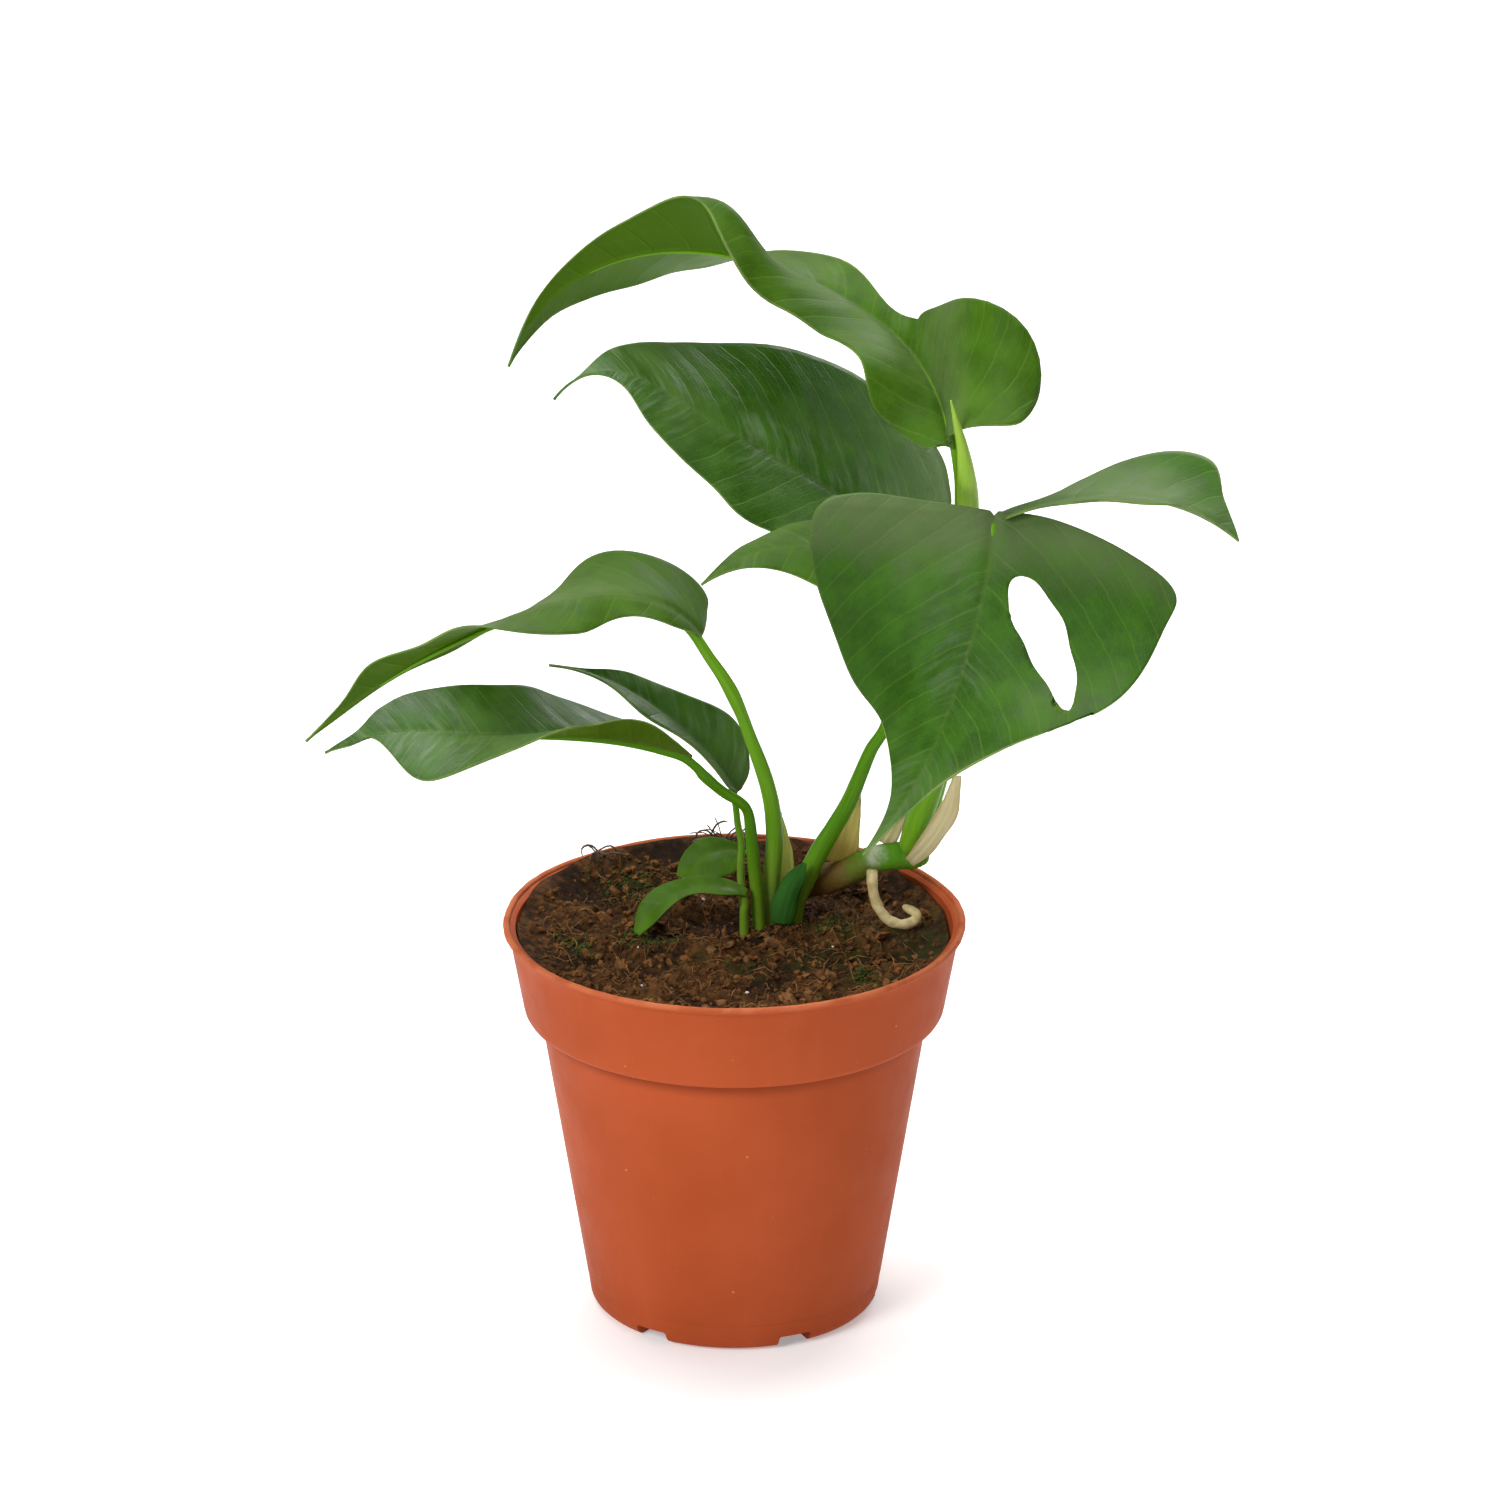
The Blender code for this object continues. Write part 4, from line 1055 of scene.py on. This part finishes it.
def make_stalks(looks):
    for name, leaf in LEAVES.items():
        stem = STEMS[name + "_stalk"]
        look = looks["lush_stalk" if name in LUSH else "pale_stalk"]
        stand_for(stalk(name + "_petiole", stem, leaf, [look]), "stalk_green", name + "_stalk")


# ---------------------------------------------------------------- materials


def put(tree, kind, inputs=None, **settings):
    """A new shader node with its settings, and its inputs set or joined."""
    made = tree.nodes.new("ShaderNode" + kind)
    for name, value in settings.items():
        setattr(made, name, value)
    for name, value in (inputs or {}).items():
        socket = made.inputs[name]
        if isinstance(value, bpy.types.NodeSocket):
            tree.links.new(value, socket)
        else:
            socket.default_value = value
    return made


def maths(tree, operation, first, second=0.0, third=0.0):
    return put(tree, "Math", {0: first, 1: second, 2: third}, operation=operation).outputs[0]


def times(tree, first, second):
    return maths(tree, "MULTIPLY", first, second)


def times_plus(tree, first, second, third):
    return maths(tree, "MULTIPLY_ADD", first, second, third)


def arrows(tree, operation, first, second):
    return put(tree, "VectorMath", {0: first, 1: second}, operation=operation).outputs[0]


def axes(tree, place):
    return put(tree, "SeparateXYZ", {0: place}).outputs


def blend(tree, share, first, second, kind="MIX"):
    """A colour between two colours, each a socket or (red, green, blue)."""
    made = put(tree, "Mix", {0: share}, data_type="RGBA", blend_type=kind)
    for place, shade in ((6, first), (7, second)):
        if isinstance(shade, tuple):
            made.inputs[place].default_value = (*shade, 1)
        else:
            tree.links.new(shade, made.inputs[place])
    return made.outputs[2]


def ramp(tree, value, low, high, to_low=0.0, to_high=1.0):
    """value read from low to high and given back from to_low to to_high, smoothly."""
    made = put(
        tree, "MapRange",
        {"Value": value, "From Min": low, "From Max": high, "To Min": to_low, "To Max": to_high},
        interpolation_type="SMOOTHSTEP",
    )
    return made.outputs[0]


def tint(tree, colour, shade, value, low, high, most=1.0):
    """The colour, turning into the shade by up to most as value goes from low to high."""
    return blend(tree, ramp(tree, value, low, high, 0, most), colour, shade)


def speckle(tree, place, scale, detail=3.0, rough=0.55):
    inputs = {"Vector": place, "Scale": scale, "Detail": detail, "Roughness": rough}
    return put(tree, "TexNoise", inputs).outputs["Fac"]


def stretched(tree, place, scale):
    return put(tree, "Mapping", {"Vector": place, "Scale": scale}).outputs[0]


def new_group(name, place, gives):
    """A node group that reads a place and gives back numbers."""
    group = bpy.data.node_groups.new(name, "ShaderNodeTree")
    group.interface.new_socket(place, in_out="INPUT", socket_type="NodeSocketVector")
    for label in gives:
        group.interface.new_socket(label, in_out="OUTPUT", socket_type="NodeSocketFloat")
    start = group.nodes.new("NodeGroupInput")
    end = group.nodes.new("NodeGroupOutput")
    return group, start.outputs[0], end.inputs


def vein_group():
    """Masks of the midrib, the side veins and the fine net between them, the soft swelling
    of the blade between veins and the streaks where a painted sheen goes. The place is in
    tenths of a metre."""
    group, flat, gives = new_group(
        "leaf_veins", "Flat Place", ("Midrib", "Side Veins", "Net", "Swelling", "Streaks")
    )
    wander = put(group, "TexNoise", {"Vector": flat, "Scale": 9.0, "Detail": 2.0})
    shift = arrows(group, "ADD", wander.outputs["Color"], (-0.5, -0.5, 0))
    place = arrows(group, "ADD", flat, arrows(group, "MULTIPLY", shift, (0.022, 0.022, 0)))
    ways = axes(group, place)
    along, out = times(group, ways[0], 100.0), times(group, ways[1], 100.0)
    reach = maths(group, "ABSOLUTE", out)
    arch = times(group, times(group, reach, reach), VEIN_ARCH)
    turn = maths(group, "SUBTRACT", along, times_plus(group, reach, VEIN_LEAN, arch))
    half = times(group, maths(group, "LESS_THAN", out, 0.0), 0.5)
    turn = maths(group, "ADD", maths(group, "DIVIDE", turn, VEIN_SPACING), half)

    def from_line(value):
        part = maths(group, "FRACT", value)
        return maths(group, "MINIMUM", part, maths(group, "SUBTRACT", 1.0, part))

    off = times(group, from_line(turn), VEIN_SPACING * 0.85)
    main = ramp(group, off, 0.42, 0.08)
    second = times(group, ramp(group, from_line(times(group, turn, 3.0)), 0.09, 0.02), 0.45)
    cells = put(group, "TexVoronoi", {"Vector": place, "Scale": 115.0}, feature="DISTANCE_TO_EDGE")
    from_rib = maths(group, "ABSOLUTE", times(group, axes(group, flat)[1], 100.0))
    # Painted sheen: streaks along the side veins near the midrib, in patches and 50 to 84 mm along
    # the blade.
    way = put(group, "CombineXYZ", {0: times(group, turn, 4.3), 1: times(group, out, 0.09)})
    streaks = ramp(group, speckle(group, way.outputs[0], 1.0, 5.0, 0.65), 0.42, 0.72)
    patch = ramp(group, speckle(group, flat, 4.2, 2.0), 0.44, 0.62)
    far_out = times(group, ramp(group, along, 50.0, 64.0), ramp(group, along, 84.0, 74.0))
    patch = maths(group, "MAXIMUM", patch, far_out)
    beside = times(group, ramp(group, from_rib, 19.0, 4.0), patch)
    masks = (
        ramp(group, from_rib, 0.85, 0.3), maths(group, "MAXIMUM", main, second),
        ramp(group, cells.outputs["Distance"], 0.11, 0.02),
        ramp(group, off, 0.0, VEIN_SPACING * 0.4), times(group, streaks, beside),
    )
    for mask, socket in zip(masks, gives):
        group.links.new(mask, socket)
    return group


def wear_group():
    """Slow patches and fine grain at a place in metres."""
    group, place, gives = new_group("slow_and_fine", "Place", ("Slow", "Middle", "Fine"))
    for socket, grain in zip(gives, ((28.0,), (150.0, 4.0), (1100.0, 3.0, 0.6))):
        group.links.new(speckle(group, place, *grain), socket)
    return group


def used(tree, group, value):
    made = tree.nodes.new("ShaderNodeGroup")
    made.node_tree = group
    tree.links.new(value, made.inputs[0])
    return made.outputs


def fresh(name, groups):
    """A new material with its place on the object and the slow and fine tones there."""
    made = bpy.data.materials.new(name)
    made.use_nodes = True
    tree = made.node_tree
    place = put(tree, "TexCoord").outputs["Object"]
    return made, tree, place, used(tree, groups["wear"], place)


def flat_place(tree):
    return put(tree, "UVMap", uv_map="flat").outputs[0]


def rim_share(tree):
    return put(tree, "Attribute", attribute_name="rim").outputs["Fac"]


def dress(tree, colour, rough, height=None, depth=0.0, relief=0.0, shine=0.5):
    """Joins the finished colour, roughness and relief to the tree's shader."""
    shader = tree.nodes["Principled BSDF"]
    tree.links.new(colour, shader.inputs["Base Color"])
    tree.links.new(rough, shader.inputs["Roughness"])
    shader.inputs["Specular IOR Level"].default_value = shine
    if height:
        bump = put(tree, "Bump", {"Height": height, "Distance": depth, "Strength": relief})
        tree.links.new(bump.outputs[0], shader.inputs["Normal"])


def let_light_through(tree, colour, share):
    """Mixes light that comes through the blade with what it reflects."""
    shader = tree.nodes["Principled BSDF"]
    through = put(tree, "BsdfTranslucent", {"Color": (*colour, 1)})
    mixed = put(tree, "MixShader", {0: share, 1: shader.outputs[0], 2: through.outputs[0]})
    output = next(node for node in tree.nodes if node.type == "OUTPUT_MATERIAL")
    tree.links.new(mixed.outputs[0], output.inputs[0])


def leaf_face(name, groups, look):
    """The upper face of a blade: waxy, with faint paler veins, painted sheen in streaks, at
    grazing angles and at its base, and grey bloom in patches.
    """
    made, tree, _, tone = fresh(name, groups)
    flat = flat_place(tree)
    veins = used(tree, groups["veins"], flat)
    deep, bright = look["face"]
    colour = blend(tree, ramp(tree, tone[0], 0.35, 0.68), deep, bright)
    colour = tint(tree, colour, bright, tone[1], 0.45, 0.75, 0.35)
    darker = blend(tree, 1.0, deep, (0.6, 0.6, 0.5), "MULTIPLY")
    colour = tint(tree, colour, darker, tone[1], 0.62, 0.3, 0.6)
    for mask, share in ((2, 0.06), (1, 0.17), (0, 0.12)):
        colour = blend(tree, times(tree, veins[mask], share), colour, VEIN)
    # Painted sheen in pale streaks.
    colour = blend(tree, times(tree, veins[4], look["streaks"]), colour, SHEEN)
    # Painted sheen: greyer where the face is seen at a grazing angle.
    facing = put(tree, "LayerWeight", {"Blend": 0.5}).outputs["Facing"]
    colour = tint(tree, colour, GREY_SHEEN_AND_BLOOM, facing, 0.25, 0.8, look["sheen_and_bloom"])
    # Grey bloom in slow random patches.
    colour = tint(tree, colour, GREY_SHEEN_AND_BLOOM, tone[0], 0.5, 0.72, look["sheen_and_bloom"] * 0.5)
    # Painted grey sheen near the blade's base.
    from_base = axes(tree, flat)[0]
    at_base = times_plus(tree, tone[1], 0.12, from_base)
    colour = tint(tree, colour, GREY_SHEEN_AND_BLOOM, at_base, 0.24, 0.06, look["base_sheen"])
    rim = rim_share(tree)
    colour = tint(tree, colour, VEIN, rim, 0.975, 1.0, 0.2)
    edge = times(tree, ramp(tree, rim, 0.965, 0.99), look["edge"])
    edge = times(tree, ramp(tree, from_base, 0.36, 0.6), edge)
    colour = blend(tree, edge, colour, PALE_EDGE)
    rough = ramp(tree, tone[1], 0.35, 0.65, look["rough"] - 0.07, look["rough"] + 0.1)
    rough = times_plus(tree, ramp(tree, tone[0], 0.4, 0.6), 0.06, rough)
    height = times_plus(tree, veins[1], -0.25, times(tree, veins[3], 0.5))
    height = times_plus(tree, veins[2], -0.07, height)
    height = times_plus(tree, tone[1], 1.3, height)
    height = times_plus(tree, tone[2], 0.12, height)
    dress(tree, colour, rough, height, 0.0003, 0.7, look["shine"])
    let_light_through(tree, look["face_light"], 0.2)
    return made


def leaf_back(name, groups, look):
    """The under face: paler and duller, with veins that stand proud."""
    made, tree, _, tone = fresh(name, groups)
    veins = used(tree, groups["veins"], flat_place(tree))
    shade, pale = look["back"]
    darker = blend(tree, 1.0, shade, (0.72, 0.8, 0.6), "MULTIPLY")
    colour = blend(tree, ramp(tree, tone[0], 0.35, 0.65), darker, shade)
    for mask, share in ((2, 0.08), (1, 0.14), (0, 0.4)):
        colour = blend(tree, times(tree, veins[mask], share), colour, pale)
    height = times_plus(tree, veins[1], 0.8, times(tree, veins[3], -0.4))
    height = times_plus(tree, tone[2], 0.2, height)
    dress(tree, colour, ramp(tree, tone[1], 0.3, 0.7, 0.48, 0.6), height, 0.0003, 0.6, 0.2)
    let_light_through(tree, look["back_light"], 0.36)
    return made


def leaf_margin(groups):
    made, tree, _, tone = fresh("leaf_margin", groups)
    colour = blend(tree, ramp(tree, tone[1], 0.4, 0.6), (0.07, 0.16, 0.01), (0.15, 0.24, 0.03))
    dress(tree, colour, ramp(tree, tone[1], 0.3, 0.7, 0.45, 0.6))
    return made


def stalk_skin(name, groups, pale, deep, foot):
    """A smooth stalk with fine stripes along it and a paler foot."""
    made, tree, place, tone = fresh(name, groups)
    stripes = speckle(tree, stretched(tree, flat_place(tree), (6.0, 30.0, 1.0)), 1.0, 4.0)
    colour = blend(tree, ramp(tree, stripes, 0.22, 0.78), deep, pale)
    colour = tint(tree, colour, deep, tone[0], 0.4, 0.7, 0.4)
    colour = tint(tree, colour, foot, axes(tree, place)[2], 0.112, 0.086, 0.7)
    height = times_plus(tree, tone[2], 0.3, stripes)
    dress(tree, colour, ramp(tree, tone[1], 0.3, 0.7, 0.32, 0.46), height, 0.0002, 0.25, 0.12)
    return made


def stem_bark(groups):
    """Old green stem: brown towards its foot, with one ragged pale scar on top."""
    made, tree, place, tone = fresh("stem_bark", groups)
    patches = speckle(tree, place, 230.0, 5.0, 0.6)
    ways = axes(tree, place)
    grown = times_plus(tree, patches, 0.012, ways[0])
    colour = blend(tree, ramp(tree, grown, 0.028, 0.038), (0.15, 0.08, 0.018), (0.075, 0.23, 0.008))
    colour = tint(tree, colour, (0.17, 0.13, 0.04), tone[1], 0.5, 0.68, 0.6)
    from_scar = maths(tree, "ABSOLUTE", maths(tree, "SUBTRACT", ways[0], SCAR_PLACE * MM))
    ragged = times_plus(tree, tone[1], 0.006, from_scar)
    scar = times(tree, ramp(tree, ragged, 0.0058, 0.0034), ramp(tree, patches, 0.3, 0.55))
    scar = times(tree, scar, ramp(tree, ways[2], 0.1000, 0.1022))
    colour = blend(tree, scar, colour, (0.40, 0.43, 0.30))
    height = maths(tree, "ADD", patches, times(tree, tone[2], 0.4))
    dress(tree, colour, ramp(tree, patches, 0.3, 0.7, 0.42, 0.75), height, 0.0005, 0.7, 0.12)
    return made


def dry_sheath(name, groups, light, dark, lean):
    """Papery sheath with fibres along it, browner towards its foot or its tip."""
    made, tree, _, tone = fresh(name, groups)
    flat = flat_place(tree)
    fibres = speckle(tree, stretched(tree, flat, (8.0, 130.0, 1.0)), 1.0, 4.0)
    foot = ramp(tree, times_plus(tree, tone[1], 0.05, axes(tree, flat)[0]), *lean)
    colour = blend(tree, foot, light, dark)
    colour = tint(tree, colour, dark, fibres, 0.4, 0.7, 0.3)
    colour = tint(tree, colour, dark, rim_share(tree), 0.55, 1.0, 0.55)
    dress(tree, colour, ramp(tree, fibres, 0.3, 0.7, 0.45, 0.7), fibres, 0.0003, 0.8, 0.2)
    let_light_through(tree, light, 0.42)
    return made


def plain_grain(name, groups, first, second, rough):
    """Two colours broken up by grain, for small dry things."""
    made, tree, place, tone = fresh(name, groups)
    patches = speckle(tree, place, 300.0, 4.0, 0.6)
    colour = blend(tree, ramp(tree, patches, 0.35, 0.65), first, second)
    patchy = ramp(tree, tone[1], 0.3, 0.7, rough - 0.08, rough + 0.05)
    dress(tree, colour, patchy, maths(tree, "ADD", patches, tone[2]), 0.0002, 0.7, 0.12)
    return made


def peat(groups):
    """Moist peat: redder crumbs, green algae in patches, painted shade in the hollows and painted
    light where crumbs stand high.
    """
    made, tree, place, tone = fresh("moist_peat", groups)
    crumbs = put(tree, "TexVoronoi", {"Vector": place, "Scale": 520.0}).outputs
    each = put(tree, "SeparateColor", {0: crumbs["Color"]}).outputs[0]
    mottle = speckle(tree, place, 480.0, 6.0, 0.75)
    patches = ramp(tree, mottle, 0.36, 0.66)
    colour = blend(tree, patches, (0.036, 0.016, 0.006), (0.16, 0.066, 0.019))
    colour = tint(tree, colour, (0.2, 0.1, 0.035), each, 0.8, 1.0, 0.35)
    relief = rim_share(tree)
    # Painted shade: darker in the soil's hollows.
    colour = tint(tree, colour, (0.012, 0.007, 0.004), relief, 0.3, -1.4, 0.85)
    # Painted light: paler and redder where crumbs and clods stand high.
    colour = tint(tree, colour, (0.24, 0.11, 0.035), relief, 0.8, 2.6, 0.5)
    algae = times(tree, ramp(tree, tone[0], 0.5, 0.64), ramp(tree, tone[1], 0.38, 0.6))
    colour = blend(tree, times(tree, algae, 0.65), colour, (0.05, 0.062, 0.012))
    fine = maths(tree, "ADD", speckle(tree, place, 900.0, 5.0, 0.75), mottle)
    height = times_plus(tree, crumbs["Distance"], 0.4, fine)
    dress(tree, colour, ramp(tree, tone[1], 0.3, 0.7, 0.7, 0.98), height, 0.0008, 0.9, 0.1)
    return made


def pot_plastic(groups):
    """Dull moulded plastic: slow shade changes, a painted highlight on the bead, a painted shade
    line under the collar, rare flecks and a fine skin."""
    made, tree, place, tone = fresh("terracotta_plastic", groups)
    slow = ramp(tree, tone[0], 0.3, 0.7)
    colour = blend(tree, slow, (0.355, 0.064, 0.018), (0.405, 0.076, 0.024))
    streaks = speckle(tree, stretched(tree, place, (120, 120, 8)), 1.0, 3.0)
    colour = tint(tree, colour, (0.46, 0.10, 0.032), streaks, 0.5, 0.8, 0.18)
    up = axes(tree, place)[2]
    # Painted highlight along the rim's bead, broken up in patches.
    patchy = ramp(tree, tone[1], 0.35, 0.6, 0.2, 0.6)
    bead = times(tree, ramp(tree, up, 0.0916, 0.0926), patchy)
    colour = blend(tree, bead, colour, (0.62, 0.19, 0.085))
    # Painted shade in a dark band just under the collar's edge.
    edge = COLLAR_FOOT * MM
    below = ramp(tree, up, edge - 0.0048, edge - 0.001)
    under = times(tree, below, ramp(tree, up, edge + 0.0001, edge - 0.0006))
    colour = blend(tree, times(tree, under, 0.6), colour, (0.17, 0.026, 0.006))
    flecks = put(tree, "TexVoronoi", {"Vector": place, "Scale": 330.0}).outputs
    rare = put(tree, "SeparateColor", {0: flecks["Color"]}).outputs
    for sizes, shares, which, shade in FLECKS:
        spot = ramp(tree, flecks["Distance"], *sizes)
        fleck = times(tree, spot, ramp(tree, rare[which], *shares))
        colour = blend(tree, times(tree, fleck, 0.5), colour, shade)
    height = times_plus(tree, tone[1], 0.5, tone[2])
    dress(tree, colour, ramp(tree, tone[1], 0.3, 0.7, 0.46, 0.58), height, 0.00015, 0.4, 0.04)
    return made


# ---------------------------------------------------------------- studio


def studio():
    world = bpy.data.worlds.new("studio_air")
    bpy.context.scene.world = world
    world.use_nodes = True
    air = world.node_tree.nodes["Background"]
    air.inputs[0].default_value = (1, 1, 1, 1)
    air.inputs[1].default_value = AIR_LIGHT
    bpy.context.scene.view_settings.view_transform = "Standard"
    bm = bmesh.new()
    bmesh.ops.create_grid(bm, x_segments=4, y_segments=4, size=FLOOR_HALF)
    made = bpy.data.materials.new("pale_floor")
    made.use_nodes = True
    shader = made.node_tree.nodes["Principled BSDF"]
    for label, value in PALE_FLOOR.items():
        shader.inputs[label].default_value = value
    floor = finish(bm, "floor", [made])
    floor.location.z = FLOOR_DROP
    for name, light in LIGHTS.items():
        add_light(name, *light)


def add_light(name, place, size, power):
    lamp = bpy.data.lights.new(name, "AREA")
    lamp.shape = "DISK"
    lamp.size = size
    lamp.energy = power
    made = bpy.data.objects.new(name, lamp)
    made.location = place
    aim = Vector(LIGHTS_AIM) - Vector(place)
    made.rotation_euler = aim.to_track_quat("-Z", "Y").to_euler()
    bpy.context.scene.collection.objects.link(made)


def camera():
    eye = bpy.data.cameras.new("camera")
    eye.lens = CAMERA_LENS
    eye.sensor_width = 36.0
    eye.clip_end = 50.0
    made = bpy.data.objects.new("camera", eye)
    made.location = CAMERA_PLACE
    made.rotation_euler = (math.radians(CAMERA_TILT), 0, 0)
    bpy.context.scene.collection.objects.link(made)
    bpy.context.scene.camera = made


def main():
    groups = {"veins": vein_group(), "wear": wear_group()}
    margin = leaf_margin(groups)
    blades = {}
    for kind, look in LEAF_LOOKS.items():
        name = kind + "_leaf_"
        face, back = leaf_face(name + "face", groups, look), leaf_back(name + "back", groups, look)
        blades[kind] = [face, back, margin]
    skins = {name: stalk_skin(name, groups, *look) for name, look in STALK_LOOKS.items()}
    grains = {name: plain_grain(name, groups, *look) for name, look in GRAINS.items()}
    make_pot(pot_plastic(groups))
    make_soil(peat(groups))
    make_lumps("soil_crumbs", grains["peat_crumb"])
    make_lumps("bark_chips", grains["bark_chip"])
    make_fibres(grains["peat_fibre"])
    make_lumps("perlite_grains", grains["perlite"])
    make_moss(grains["moss"])
    make_rim_roots(grains["dry_rootlet"])
    make_leaves(blades)
    make_stalks(skins)
    make_spear(skins["spear_skin"])
    make_main_stem(stem_bark(groups))
    make_root(grains["root_skin"])
    papers = {name: dry_sheath(name, groups, *look) for name, look in SHEATH_LOOKS.items()}
    for name, sheath in SHEATHS.items():
        make_sheath(name, sheath, papers[sheath["look"]])
    studio()
    camera()


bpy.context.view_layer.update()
main()
